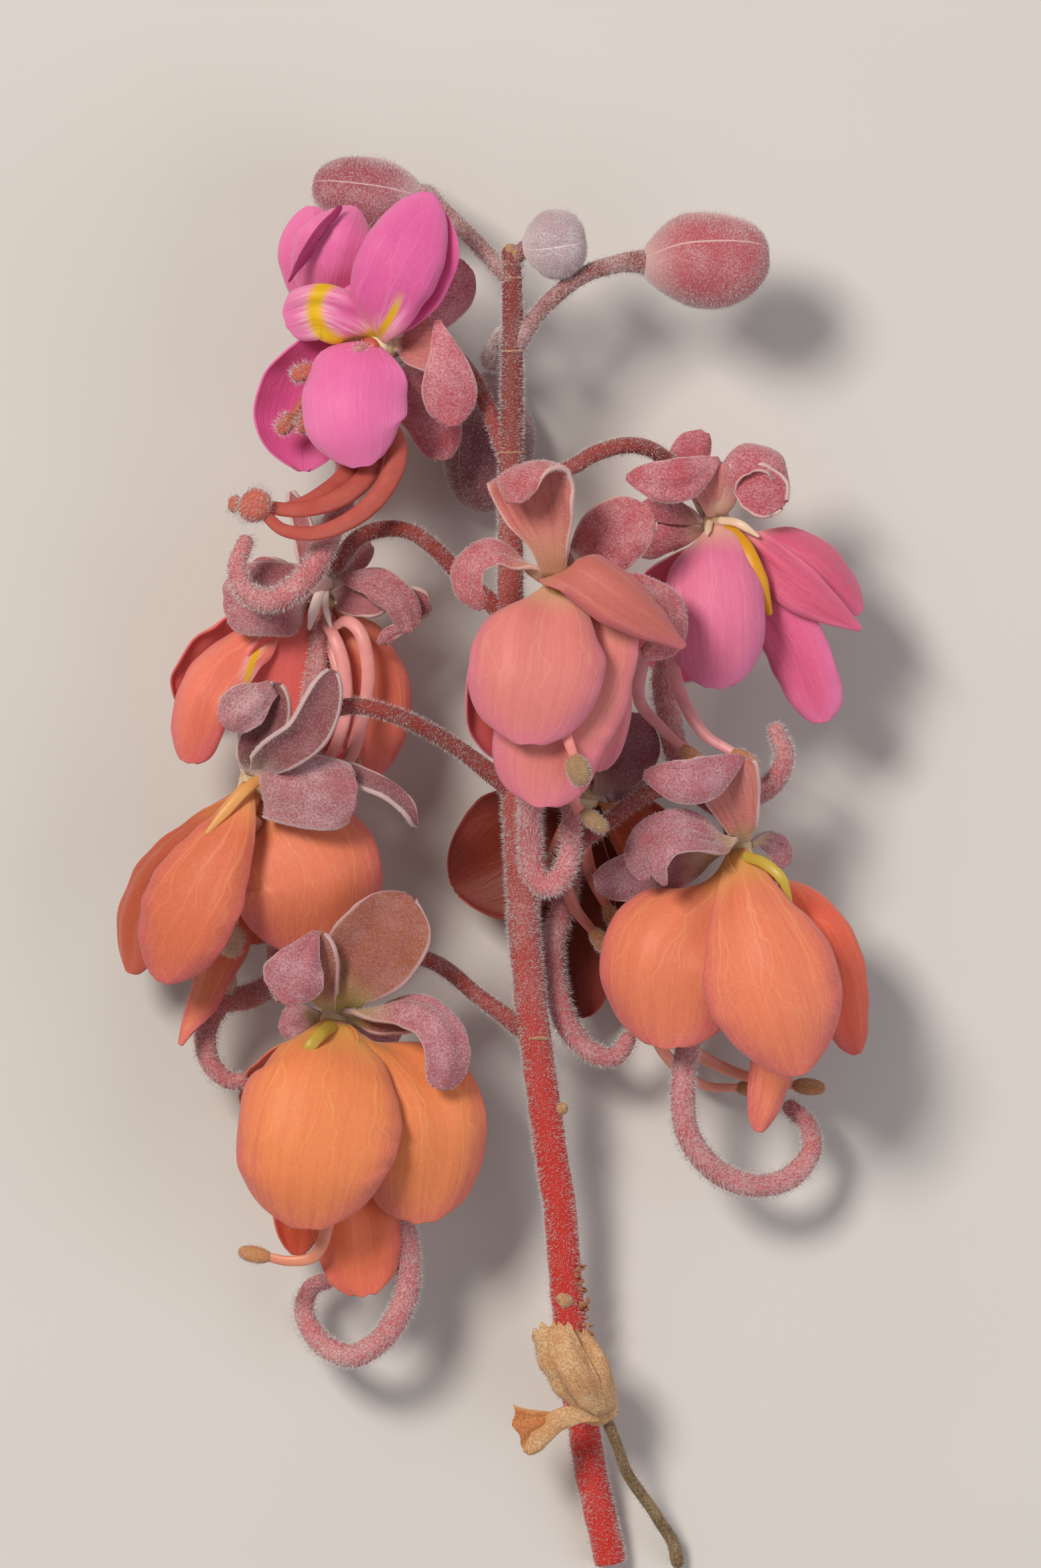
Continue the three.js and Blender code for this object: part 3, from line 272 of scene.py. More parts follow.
def closed(grid):
    """A closed form from rings of points: quads between the rings and a fan over each end."""
    rings, sides = grid.shape[:2]
    i, k = (x.ravel() for x in np.meshgrid(np.arange(rings - 1), np.arange(sides), indexing="ij"))
    following = (k + 1) % sides
    low, high = i * sides, (i + 1) * sides
    quads = np.stack([low + k, low + following, high + following, high + k], -1)
    fan = np.arange(1, sides - 1)
    first, last = np.stack([0 * fan, fan + 1, fan], -1), np.stack([0 * fan, fan, fan + 1], -1)
    triangles = np.vstack([first, last + (rings - 1) * sides])
    return {"points": grid.reshape(-1, 3), "quads": quads, "triangles": triangles}


def marked(grid, outward, lie, mark, share, radius, length, own=0.0):
    """A closed form whose points carry a mark across, their share and millimetres along, the
    radius there and the form's own number, with the skin that hairs stand on.
    """
    stacked = lambda *rows: np.stack(np.broadcast_arrays(*rows, grid[..., 0])[:3], -1)
    rows = [np.broadcast_to(row, grid.shape) for row in (grid, outward, lie)]
    around, normals, lie = (np.concatenate([row, row[:, :1]], axis=1) for row in rows)
    cover = np.ones(around.shape[:2])
    return closed(grid) | {
        "where": stacked(mark, share, 1.0).reshape(-1, 3),
        "size": stacked(radius, share * length, own).reshape(-1, 3),
        "skins": [{"grid": around, "normals": normals, "lie": lie, "cover": cover}],
    }


def limb(points, radii, sides, gap, flatness=1.0, facing=SKEW, lumps=0.0, seed=0, cut=False):
    """A limb: rings of points round a smooth line, each at its radius, times flatness along the
    facing side, with slow random lumps as a share of the radius. Its ends are domes, or the
    first one is a flat cut.
    """
    length = line_through(points, [0, 1])[2]
    count = max(int(length / gap), 3) + 1
    shares = np.linspace(0, 1, count)
    places, directions, length = line_through(points, shares)
    normals = carried(directions, facing, count // 2)
    radius = np.interp(shares, np.linspace(0, 1, len(radii)), radii)
    first, last = DOME_ANGLES[::-1], DOME_ANGLES
    before = places[0] - directions[0] * (0 if cut else radius[0]) * np.sin(first)[:, None]
    beyond = places[-1] + directions[-1] * radius[-1] * np.sin(last)[:, None]
    places = np.vstack([before, places, beyond])
    radius = np.concatenate([radius[0] * np.cos(first), radius, radius[-1] * np.cos(last)])
    nearest = np.clip(np.arange(-len(first), count + len(last)), 0, count - 1)
    directions, normals, shares = directions[nearest], normals[nearest], shares[nearest, None]
    angles = 2 * np.pi * (np.arange(sides) + 0.5) / sides
    rng = np.random.default_rng(seed)
    waves = sum(
        np.sin(rng.integers(1, 4) * angles + shares * length * pitch + phase)
        for pitch, phase in zip(rng.uniform(0.5, 2.4, 5), rng.uniform(0, 2 * np.pi, 5))
    )
    radius = radius[:, None] * (1 + lumps * waves / 3)
    up = normals[:, None] * np.cos(angles)[:, None]
    aside = np.cross(directions, normals)[:, None] * np.sin(angles)[:, None]
    grid = places[:, None] + radius[..., None] * (up * flatness + aside)
    grid[..., 2] = np.maximum(grid[..., 2], TABLE_CLEARANCE)
    return marked(grid, up + aside, directions[:, None], 0.0, shares, radius, length, float(seed))


def lump(centre, size, sides=12, rings=9, seed=0, roughness=0.12):
    """A small uneven ball: an ellipsoid whose radius varies by slow random waves."""
    rng = np.random.default_rng(seed)
    tilt = np.linspace(0.08, np.pi - 0.08, rings)[:, None]
    turn = (2 * np.pi * np.arange(sides) / sides)[None, :]
    waves = sum(
        np.sin(rng.integers(1, 4) * turn + rng.integers(1, 4) * tilt + rng.uniform(0, 6.3))
        for _ in range(4)
    )
    radius = 1 + roughness * waves / 2
    across, up = radius * np.sin(tilt), -radius * np.cos(tilt)
    grid = np.stack([across * np.cos(turn), across * np.sin(turn), up], -1)
    return closed(grid * size + centre)


def hairs(forms, per_mm2, length, width, lean, seed):
    """Hairs on forms: thin three-sided spikes from points spread by area times cover, each
    along the surface's normal, leant along the way that the hairs lie and a little at random.
    """
    rng = np.random.default_rng(seed)
    feet, normals, ways = [], [], []
    for skin in (skin for form in forms for skin in form["skins"]):
        grid, cover = skin["grid"], skin["cover"]
        down = grid[1:, :-1] - grid[:-1, :-1]
        across = grid[:-1, 1:] - grid[:-1, :-1]
        area = np.linalg.norm(np.cross(down, across), axis=-1) * cover[:-1, :-1]
        count = int(area.sum() * per_mm2)
        if count == 0:
            continue
        cells = rng.choice(area.size, count, p=(area / area.sum()).ravel())
        i, j = np.divmod(cells, area.shape[1])
        p, q = rng.random((2, count, 1))
        mixed = lambda rows: (
            rows[i, j] * (1 - p) * (1 - q)
            + rows[i + 1, j] * p * (1 - q)
            + rows[i, j + 1] * (1 - p) * q
            + rows[i + 1, j + 1] * p * q
        )
        feet.append(mixed(grid))
        normals.append(unit(mixed(skin["normals"])))
        ways.append(mixed(skin["lie"]))
    feet, normals, ways = np.vstack(feet), np.vstack(normals), np.vstack(ways)
    count = len(feet)
    pointing = unit(normals + lean * ways + rng.normal(0, HAIR_STRAY, (count, 3)))
    reach = length * rng.uniform(*HAIR_REACH, (count, 1))
    first = square_to(rng.normal(0, 1, (count, 3)), pointing)
    second = np.cross(pointing, first)
    turn = 2 * np.pi * np.arange(3)[:, None] / 3
    round_foot = first[:, None] * np.cos(turn) + second[:, None] * np.sin(turn)
    ring = (feet - normals * HAIR_ROOT)[:, None] + width / 2 * round_foot
    points = np.concatenate([ring, (feet + pointing * reach)[:, None]], axis=1)
    points[..., 2] = np.maximum(points[..., 2], TABLE_CLEARANCE)
    sides = np.array([[0, 1, 3], [1, 2, 3], [2, 0, 3], [0, 2, 1]])
    triangles = 4 * np.arange(count)[:, None, None] + sides
    return {"points": points.reshape(-1, 3), "triangles": triangles.reshape(-1, 3)}


def add_piece(name, forms, finish, slot, *replaced):
    """One object from forms in millimetres, smooth-shaded, with the forms' marks as attributes.
    It rides with the raceme, and stands for the solids named.
    """
    nothing = {"quads": np.zeros((0, 4), int), "triangles": np.zeros((0, 3), int)}
    forms = [nothing | form for form in forms]
    starts = np.cumsum([0] + [len(form["points"]) for form in forms])[:-1]
    points = np.vstack([form["points"] for form in forms]) * MM
    quads = np.vstack([form["quads"] + start for form, start in zip(forms, starts)])
    triangles = np.vstack([form["triangles"] + start for form, start in zip(forms, starts)])
    corners = np.concatenate([quads.ravel(), triangles.ravel()])
    sizes = np.repeat([4, 3], [len(quads), len(triangles)])
    mesh = bpy.data.meshes.new(name)
    mesh.vertices.add(len(points))
    mesh.vertices.foreach_set("co", points.ravel())
    mesh.loops.add(len(corners))
    mesh.loops.foreach_set("vertex_index", corners)
    mesh.polygons.add(len(sizes))
    mesh.polygons.foreach_set("loop_start", np.cumsum(sizes) - sizes)
    mesh.update(calc_edges=True)
    mesh.validate()
    mesh.shade_smooth()
    for mark in ("where", "size"):
        if any(mark in form for form in forms):
            values = [form.get(mark, np.zeros_like(form["points"])) for form in forms]
            layer = mesh.attributes.new(mark, "FLOAT_VECTOR", "POINT")
            layer.data.foreach_set("vector", np.vstack(values).ravel())
    mesh.materials.append(finish)
    piece = bpy.data.objects.new(name, mesh)
    scene.collection.objects.link(piece)
    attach(piece, "root")
    if replaced:
        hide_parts(*replaced)


def felt(
    name, skin, fuzz, rim, shade, inside=None, foot=None, foot_ends=(0.06, 0.42), tip=None,
    grain=6.5, cover=(0.58, 1.0), sheen=0.5,
):
    """Felted plant skin: its own colour shows between matted pale hairs. Noise of about a
    hair's spacing mixes the two, drawn a little coarser than life so that it shows, and slow
    noise varies how dense the hairs are. Where the surface's marks say so, margins are paler,
    the inner face has a colour of its own with darker veins, and the foot and the tip fade to
    others.
    """
    material, tree, places = new_finish(name)
    mark = add(tree, "Attribute", [], attribute_name="where").outputs["Vector"]
    across, along, side = add(tree, "SeparateXYZ", [mark]).outputs
    fibres = add(
        tree, "TexNoise", {"Vector": places, "Scale": grain, "Detail": 4.0, "Roughness": 0.7}
    )
    patches = add(tree, "TexNoise", {"Vector": places, "Scale": 0.5, "Detail": 3.0})
    aside = add(tree, "Math", [across], operation="ABSOLUTE")
    margin = add(tree, "MapRange", [aside, 0.9, 1.0, 0.0, 0.85], **SMOOTH)
    density = add(tree, "Math", [patches, 0.5, fibres], operation="MULTIPLY_ADD")
    coat = add(tree, "MapRange", [density, *cover], **SMOOTH)
    layers = [(patches, shade)]
    if inside:
        fans = add(tree, "Mapping", {"Vector": mark, "Scale": (9, 1.6, 9)})
        veins = add(tree, "TexNoise", {"Vector": fans, "Scale": 1.0, "Detail": 2.0})
        dark_veins = add(tree, "MapRange", [veins, 0.5, 0.6, 0.0, 0.4], **SMOOTH)
        inner = add(tree, "MapRange", [side, 0.5, -0.5, 0.0, 0.9])
        outer = add(tree, "MapRange", [inner, 0.0, 0.9, 1.0, 0.35])
        coat = add(tree, "Math", [coat, outer], operation="MULTIPLY")
        layers += [(inner, inside), (dark_veins, shade)]
    layers.append((coat, fuzz))
    if foot:
        layers.append((add(tree, "MapRange", [along, *foot_ends, 0.8, 0.0], **SMOOTH), foot))
    # The tip tint is given only for the stem, where it is painted shade that darkens the upper part
    if tip:
        layers.append((add(tree, "MapRange", [along, 0.7, 0.92, 0.0, 0.55], **SMOOTH), tip))
    layers.append((margin, rim))
    relief = add(tree, "Bump", {"Height": fibres, "Strength": 0.6, "Distance": 0.0001})
    values = {
        "Roughness": 0.75, "IOR": 1.4, "Sheen Weight": sheen, "Sheen Roughness": 0.4,
        "Sheen Tint": linear("#ffeeee"), "Subsurface Weight": 0.12,
        "Subsurface Radius": (1.0, 0.4, 0.35), "Subsurface Scale": 0.0006,
    }
    return finished(material, skin, layers, values, relief)


def hair_finish(name, colour, pale="#f6eeec"):
    """Thin plant hair: a pale, slightly see-through strand, given as a pale matt surface that
    lets some light through.
    """
    material, tree, places = new_finish(name)
    variety = add(tree, "TexNoise", {"Vector": places, "Scale": 0.9})
    values = {
        "Roughness": 0.55, "IOR": 1.5, "Subsurface Weight": 0.3,
        "Subsurface Radius": (1.0, 0.7, 0.6), "Subsurface Scale": 0.0003,
    }
    return finished(material, colour, [(variety, pale)], values)


def axis_of(letter):
    """A flower's centre and the unit direction that it opens in."""
    flower = FLOWERS[letter]
    return np.array(flower["centre"], float), unit(np.array(flower["axis"], float))


def pedicel_line(letter):
    """The points of a flower's stalk, ending straight into its foot along its axis."""
    centre, axis = axis_of(letter)
    last = centre + axis * PEDICEL_END
    return [*FLOWERS[letter]["pedicel"], last - axis * PEDICEL_APPROACH, last]


white_hair = hair_finish("white_plant_hair", "#eee2e0")
# The dark tip colour darkens the upper rachis towards its growing tip: painted shade, for dimmer
# light there
stem_felt = felt(
    "felted_red_stem", "#b44e48", "#d09c98", "#b85a54", "#903a36", foot="#cc2416",
    foot_ends=(0.3, 0.52), tip="#5c2420", cover=(0.66, 1.1), sheen=0.3,
)
stalk_felt = felt(
    "felted_stalk", "#a03c36", "#bc8a86", "#b85a54", "#7c302c", cover=(0.66, 1.1), sheen=0.4
)
bud_stalk_felt = felt(
    "pale_felted_bud_stalk", "#8c4642", "#c0a0a0", "#b85a54", "#743430", cover=(0.56, 0.98)
)
scar_cork = felt("tan_scar_cork", "#b8865a", "#d2ab80", "#c99a70", "#8a5c3a")
scurf = felt("orange_scurf", "#b06a3c", "#c88c60", "#c07c50", "#804428")

rachis = limb(RACHIS, RACHIS_RADIUS, sides=28, gap=STEM_GAP, lumps=0.035, seed=1, cut=True)
stalks = [
    limb(
        pedicel_line(letter), PEDICEL_RADIUS, sides=16, gap=STALK_GAP, lumps=0.03,
        seed=10 + number,
    )
    for number, letter in enumerate(FLOWERS)
]
bud_stalks = [
    limb(points, BUD_STALK_RADIUS, sides=16, gap=STALK_GAP, lumps=0.03, seed=30 + number)
    for number, points in enumerate(BUD_STALKS.values())
]
scars = [
    lump(*scar, sides=20, seed=50 + number, roughness=0.05) for number, scar in enumerate(SCARS)
]
scars += [lump(*scale, seed=60 + number) for number, scale in enumerate(TIP_SCALES)]
rng = np.random.default_rng(3)
crumbs = []
for number, share in enumerate(np.linspace(0, 1, CRUMBS)):
    place = (1 - share) * np.array(CRUMBS_FROM) + share * np.array(CRUMBS_TO)
    place = place + rng.normal(0, 1, 3) * CRUMB_SPREAD
    size = rng.uniform(*CRUMB_SIZE, 3)
    crumbs.append(lump(place, size, sides=8, rings=6, seed=70 + number, roughness=0.3))
add_piece("stem_rachis", [rachis], stem_felt, "felted_stem", "stem")
add_piece("stem_stalks", stalks, stalk_felt, "felted_stem")
add_piece("stem_bud_stalks", bud_stalks, bud_stalk_felt, "felted_stem")
add_piece("stem_scars", scars, scar_cork, "felted_stem")
add_piece("stem_crumbs", crumbs, scurf, "felted_stem")
# For each hairy part of the stem: its forms, then its hairs' number on a square millimetre,
# length, width, lean and seed
for name, *coat in (
    ("rachis", [rachis], 40, 0.4, 0.034, 0.05, 2),
    ("stalk", stalks, 28, 0.36, 0.036, 0.05, 4),
    ("bud_stalk", bud_stalks, 44, 0.34, 0.036, 0.05, 5),
):
    add_piece(f"stem_{name}_hairs", [hairs(*coat)], white_hair, "felted_stem")

# The calyces
# Behind each flower stands a small pale receptacle with five thick sepals, felted on both
# faces with short pale hairs, densest on the margins. Some fold back or roll, and all are grown
# fast to the receptacle.
DOWN = (0, 0, -1)
# Half widths of blades from foot to tip, as shares of the greatest
SEPAL = [(0, 0.38), (0.15, 0.5), (0.35, 0.82), (0.58, 1), (0.78, 0.94), (0.9, 0.76), (0.97, 0.48),
    (1, 0.22)]
BOXY = [(0, 0.4), (0.1, 0.8), (0.22, 0.95), (0.5, 1), (0.8, 0.99), (0.93, 0.92), (0.98, 0.8),
    (1, 0.6)]
FOLDED = [(0, 0.25), (0.2, 0.42), (0.42, 0.85), (0.6, 1), (0.8, 0.9), (0.93, 0.6), (1, 0.2)]
STRAP = [(0, 0.35), (0.2, 0.7), (0.42, 1), (0.65, 1), (0.85, 0.88), (0.95, 0.62), (1, 0.22)]
FAN = [(0, 0.3), (0.3, 0.5), (0.7, 0.88), (0.95, 1), (1, 0.96)]
RIBBON = [(0, 0.35), (0.25, 0.62), (0.5, 0.95), (0.78, 1), (0.93, 0.88), (0.98, 0.7), (1, 0.45)]
LEAF = [(0, 0.15), (0.2, 0.62), (0.45, 1), (0.7, 0.92), (0.88, 0.6), (1, 0.12)]
TEAR = [(0, 0.12), (0.25, 0.45), (0.5, 0.84), (0.72, 1), (0.88, 0.85), (0.97, 0.5), (1, 0.2)]
# Each sepal: its width, the line along its middle from near its root to its tip, the way that
# its crowned face looks, and what bends it. A fold is a part of a sepal that is turned over.
SEPALS = {
    "a": [
        dict(width=4.6, path=[(-5.8, 38.8, 12.5), (-3.8, 40.3, 12), (-2, 42.3, 12)]),
        dict(width=4.2, outline=FAN, cup=0.3, facing=DOWN, path=[(-6.7, 36.8, 14.2),
            (-5.5, 36.7, 15), (-4.3, 36.7, 15.3)]),
        dict(width=4, outline=TEAR, fold=True, path=[(-4.1, 38.2, 15.6), (-3.5, 35.4, 16.6),
            (-3, 30.8, 15.4)]),
        dict(width=4.2, path=[(-6.8, 34, 11.6), (-4.5, 31.5, 11.2), (-3.7, 28.4, 11)]),
        dict(width=4, facing=DOWN, path=[(-9.3, 39, 9), (-9.8, 42, 7.4)]),
        dict(width=4, facing=DOWN, path=[(-9.6, 34.3, 10), (-10, 31.5, 8.2), (-10, 29.5, 7.4)]),
    ],
    "b": [
        dict(width=3.6, outline=FAN, facing=DOWN, path=[(15.4, 25.2, 13.2), (15.2, 26.8, 14),
            (15, 28.3, 14.4)]),
        dict(width=3.2, outline=LEAF, fold=True, path=[(15.8, 28.4, 14.6), (12.8, 26.9, 16.4),
            (9.3, 27.2, 15.4)]),
        dict(width=3, outline=TEAR, path=[(14.6, 26.8, 9.8), (13.8, 28.6, 9.8), (14.9, 30.4, 9.6)]),
        dict(width=2.6, outline=STRAP, facing=(-0.2, 0.6, 0.75), path=[(16.2, 25.6, 13.6),
            (16.6, 27.6, 14.6), (18.1, 28.7, 15.2), (19.8, 28.1, 14.8), (20.7, 26.6, 14)]),
        dict(width=3.7, outline=STRAP, cup=-0.5, facing=(0.1, -0.2, 1), fold=True,
            path=[(16.9, 27.2, 14.6), (18.6, 26.4, 14.9), (20.5, 25.2, 14.6)]),
        dict(width=1.9, path=[(13.7, 24.4, 11.4), (12, 24.9, 11.6), (10.3, 25, 10.8)]),
        dict(width=2.6, path=[(13.6, 23.4, 10.6), (11.9, 23, 10.9), (10.2, 21.8, 9.8)]),
    ],
    "c": [
        dict(width=6.6, outline=FOLDED, facing=(-0.1, 1, 0.15), path=[(3.8, 22.5, 25.4),
            (2.9, 26, 26.4), (2.4, 27.8, 27.4), (1.5, 27.2, 29), (1.2, 25.2, 29.4)]),
        dict(width=2.8, outline=STRAP, facing=(-0.55, 0.3, 0.75), path=[(2, 21, 23.6),
            (0, 22, 24.4), (-1.9, 21, 24.8), (-1.9, 19, 24.8), (-0.9, 17.8, 24.4)]),
        dict(width=5, path=[(6.7, 20.9, 21.4), (8.2, 22.9, 21.8), (11.2, 24.4, 22)]),
        dict(width=2.6, outline=STRAP, facing=(0.5, 0.5, 0.7), path=[(6.6, 19.5, 20.2),
            (10, 19.6, 21.4), (12.4, 18.2, 22), (12.3, 15.6, 22.4), (10.4, 14.6, 22.8)]),
        dict(width=2.6, path=[(5.4, 20.6, 19.6), (6.3, 21.2, 17.6)]),
    ],
    "d": [
        dict(width=5.4, outline=BOXY, path=[(-13.6, 18.5, 12), (-16.4, 18.6, 13.6),
            (-19.3, 18.6, 12.9)]),
        dict(width=2.6, facing=DOWN, path=[(-10.8, 18.6, 11.6), (-9.2, 18.5, 12.6),
            (-7.6, 18, 12.8)]),
        dict(width=2.4, cup=0.3, outline=STRAP, fold=True, path=[(-10.6, 20, 12.8),
            (-8.4, 19.6, 14), (-6.7, 18.2, 14.2), (-6, 16.2, 13.6)]),
        dict(width=2.4, outline=LEAF, facing=DOWN, fold=True, path=[(-7.2, 18.3, 12.4),
            (-5.8, 18.2, 12.8), (-4.7, 17.6, 12.4)]),
        dict(width=1.1, outline=LEAF, fold=True, path=[(-6.1, 16.4, 13.2), (-7.2, 16.2, 13),
            (-8.3, 15.4, 12.4)]),
        dict(width=2.4, path=[(-11, 20.6, 9.4), (-9.8, 21.8, 9), (-8.8, 22.4, 8.8)]),
        dict(width=1.5, facing=DOWN, path=[(-13.4, 21.5, 6), (-13.8, 24, 4.4), (-14.6, 26.2, 4)]),
        dict(width=2.4, facing=DOWN, path=[(-16, 20.4, 10.4), (-17.4, 20.8, 10)]),
    ],
    "e": [
        dict(width=3.5, cup=0.9, facing=(-0.15, 0.3, -0.9), ruffle=0.03, folds=0.04,
            path=[(-15.6, 7.6, 18.6), (-13.2, 9.4, 20.2), (-11.5, 13.5, 21)]),
        dict(width=3.2, cup=0.7, facing=DOWN, path=[(-16.9, 8, 17.4), (-16, 10, 18.4),
            (-15.4, 12.6, 18.8)]),
        dict(width=3.4, fold=True, path=[(-15.8, 12.2, 19.4), (-17.2, 11.2, 20.4),
            (-19.3, 9.7, 20)]),
        dict(width=5.4, cup=0.35, outline=BOXY, facing=(0, -0.1, 1), path=[(-15.9, 5.6, 16.8),
            (-12.9, 4.8, 17.8), (-9.8, 4.5, 17.2)]),
        dict(width=1.9, cup=0.9, facing=(-0.2, -0.5, -0.8), path=[(-13, 6.6, 15), (-9.5, 5.7, 15.6),
            (-7, 4.4, 15.4), (-5.6, 2.4, 14.4)]),
        dict(width=2.2, facing=DOWN, path=[(-17.2, 7.4, 10), (-16.4, 9.2, 8.6)]),
    ],
    "f": [
        dict(width=6.6, cup=0.3, facing=DOWN, ruffle=0.03, path=[(-9.9, -8, 14.8), (-7.6, -5, 16.2),
            (-6.1, -2.4, 15.8)]),
        dict(width=2.4, cup=0.7, outline=STRAP, facing=DOWN, path=[(-12.3, -9.2, 14.6),
            (-12.2, -7, 16.2), (-12.4, -5, 17)]),
        dict(width=4.6, outline=TEAR, fold=True, path=[(-12.7, -5.1, 17.4), (-13.9, -7.4, 18.8),
            (-15, -10.1, 17.8)]),
        dict(width=2.8, facing=(-0.5, 0, 0.85), path=[(-13.4, -11.2, 11.6), (-15.3, -11.9, 10)]),
        dict(width=1.8, facing=DOWN, path=[(-8.4, -11.5, 12.8), (-7, -11.4, 13.2),
            (-5.4, -11.6, 13.4)]),
        dict(width=3.5, outline=RIBBON, facing=(0.3, 0.3, 0.9), path=[(-8.8, -10.7, 14),
            (-6, -10.4, 15.8), (-4, -11.6, 16.8), (-3.3, -13.8, 16.9), (-3.8, -16.2, 16.2)]),
        dict(width=2.2, path=[(-9, -11.8, 9.4), (-6.8, -12.6, 8.2)]),
    ],
    "g": [
        dict(width=4.8, outline=FAN, facing=DOWN, path=[(17.4, 2.6, 14.6), (16.8, 4.8, 16),
            (16, 7, 17)]),
        dict(width=3.3, outline=LEAF, fold=True, path=[(17.5, 7.3, 17.2), (14.2, 5.6, 18.8),
            (10.5, 6.1, 17.8)]),
        dict(width=2.7, outline=STRAP, facing=(-0.3, 0.5, 0.8), path=[(15.6, 1.8, 16),
            (13.6, 2.7, 17), (11, 2.1, 17.4), (9.9, 0.3, 17), (10.5, -1.4, 16.4)]),
        dict(width=1.9, outline=STRAP, facing=(-0.3, 0.5, 0.8), path=[(15.4, 1.2, 17),
            (13.8, 1.5, 18.8), (12.2, 1, 19.4), (11.5, -0.4, 19.2), (12, -1.7, 18.6)]),
        dict(width=3.7, cup=0.35, path=[(14.4, 0.2, 12.4), (11, -0.9, 11.6), (7, -1.6, 11)]),
        dict(width=1.8, path=[(18.9, 1.5, 11.4), (20, 1, 10.4), (20.6, -0.4, 9.6)]),
    ],
    "h": [
        dict(width=4.8, cup=0.3, path=[(8.6, 6.4, 7.4), (9.4, 8.2, 8), (10.6, 10.2, 8)]),
        dict(width=3, path=[(4.6, 6, 7), (2.6, 7.4, 7.4)]),
        dict(width=3.6, path=[(6.6, 7, 4.4), (6.6, 10, 3.6)]),
        dict(width=3, path=[(8.4, 5, 4.6), (10.6, 5.6, 3.6)]),
    ],
}
# Height and radius at which sepals leave the receptacle, and a sepal's rows and columns
SEPAL_ROOT = (-0.5, 0.95)
SEPAL_GRID = (30, 16)
# Height and radius up the receptacle, which swells from the stalk and closes inside the calyx
RECEPTACLE = [(-1.9, 0.6), (-1.5, 0.68), (-1.1, 0.82), (-0.6, 1.0), (-0.2, 1.0), (0.15, 0.85),
    (0.3, 0.4)]
# For each calyx: the colour of the skin, fuzz, margin, shaded skin, inner face and foot
CALYX_COLOURS = {
    "a": ("#c65866", "#dca0a8", "#e4c0c0", "#a84858", "#c87870", "#d8a890"),
    "b": ("#c0525e", "#d69ca2", "#e6c4c0", "#9c4250", "#cc807a", "#dcb49a"),
    "c": ("#c0565e", "#d29496", "#e4beb8", "#9a4048", "#cc7264", "#cfa07c"),
    "d": ("#b8606a", "#cc9ca0", "#dcc0bc", "#904850", "#a86064", "#e4c4b8"),
    "e": ("#b86c72", "#cca4a8", "#d4b8b6", "#8c5058", "#7c3c40", "#c0aca0"),
    "f": ("#bc6670", "#cc9ca4", "#ccaaa8", "#8c4850", "#94542f", "#b0a058"),
    "g": ("#b86470", "#c89ca4", "#d8bcbc", "#8c4c56", "#cc7664", "#d0b880"),
    # Flower h hangs behind the stem: its calyx colours are darkened by painted shade
    "h": ("#9c5860", "#b0848c", "#c4a0a0", "#703c44", "#94524e", "#a88470"),
}
# The share of a blade's length in which it turns from its root's stance to its own, the least
# bend across, the lowest level of its middle sheet, and how far its margins fall back at the tip
CLAW_SHARE = 0.35
FLAT_BEND = 0.001
LIE_LEVEL = 0.16
TIP_PULL = 0.22
# Where along a blade its facing side is given, and where along its own blade a fold starts
MIDDLE_SHARE = 0.6
FOLD_SHARE = 0.5
# How closely a blade's rows stand at its tip, and its columns at its margins
TIP_CROWDING = 1.45
EDGE_CROWDING = 0.86


def bowed(knots, x):
    """A smooth curve through knots that never overshoots: cubic pieces whose slope at a knot is
    the harmonic mean of the slopes on both sides, or zero at a peak.
    """
    place, height = np.array(knots, float).T
    secants = np.diff(height) / np.diff(place)
    slopes = np.concatenate([secants[:1], np.zeros(len(secants) - 1), secants[-1:] * 1.2])
    same = secants[:-1] * secants[1:] > 0
    slopes[1:-1][same] = 2 / (1 / secants[:-1][same] + 1 / secants[1:][same])
    k = np.clip(np.searchsorted(place, x, side="right") - 1, 0, len(secants) - 1)
    gap = (place[1:] - place[:-1])[k]
    s = (x - place[k]) / gap
    return (
        height[k] * (1 + 2 * s) * (1 - s) ** 2
        + slopes[k] * gap * s * (1 - s) ** 2
        + height[k + 1] * s**2 * (3 - 2 * s)
        + slopes[k + 1] * gap * s**2 * (s - 1)
    )


def root_on(root, towards, centre, axis):
    """Where a blade leaves its disc: up the axis by a height and out by a radius on the side of
    its first point; also the direction across it there.
    """
    outward = square_to(np.array(towards, float) - centre, axis)
    return centre + axis * root[0] + outward * root[1], np.cross(axis, outward)


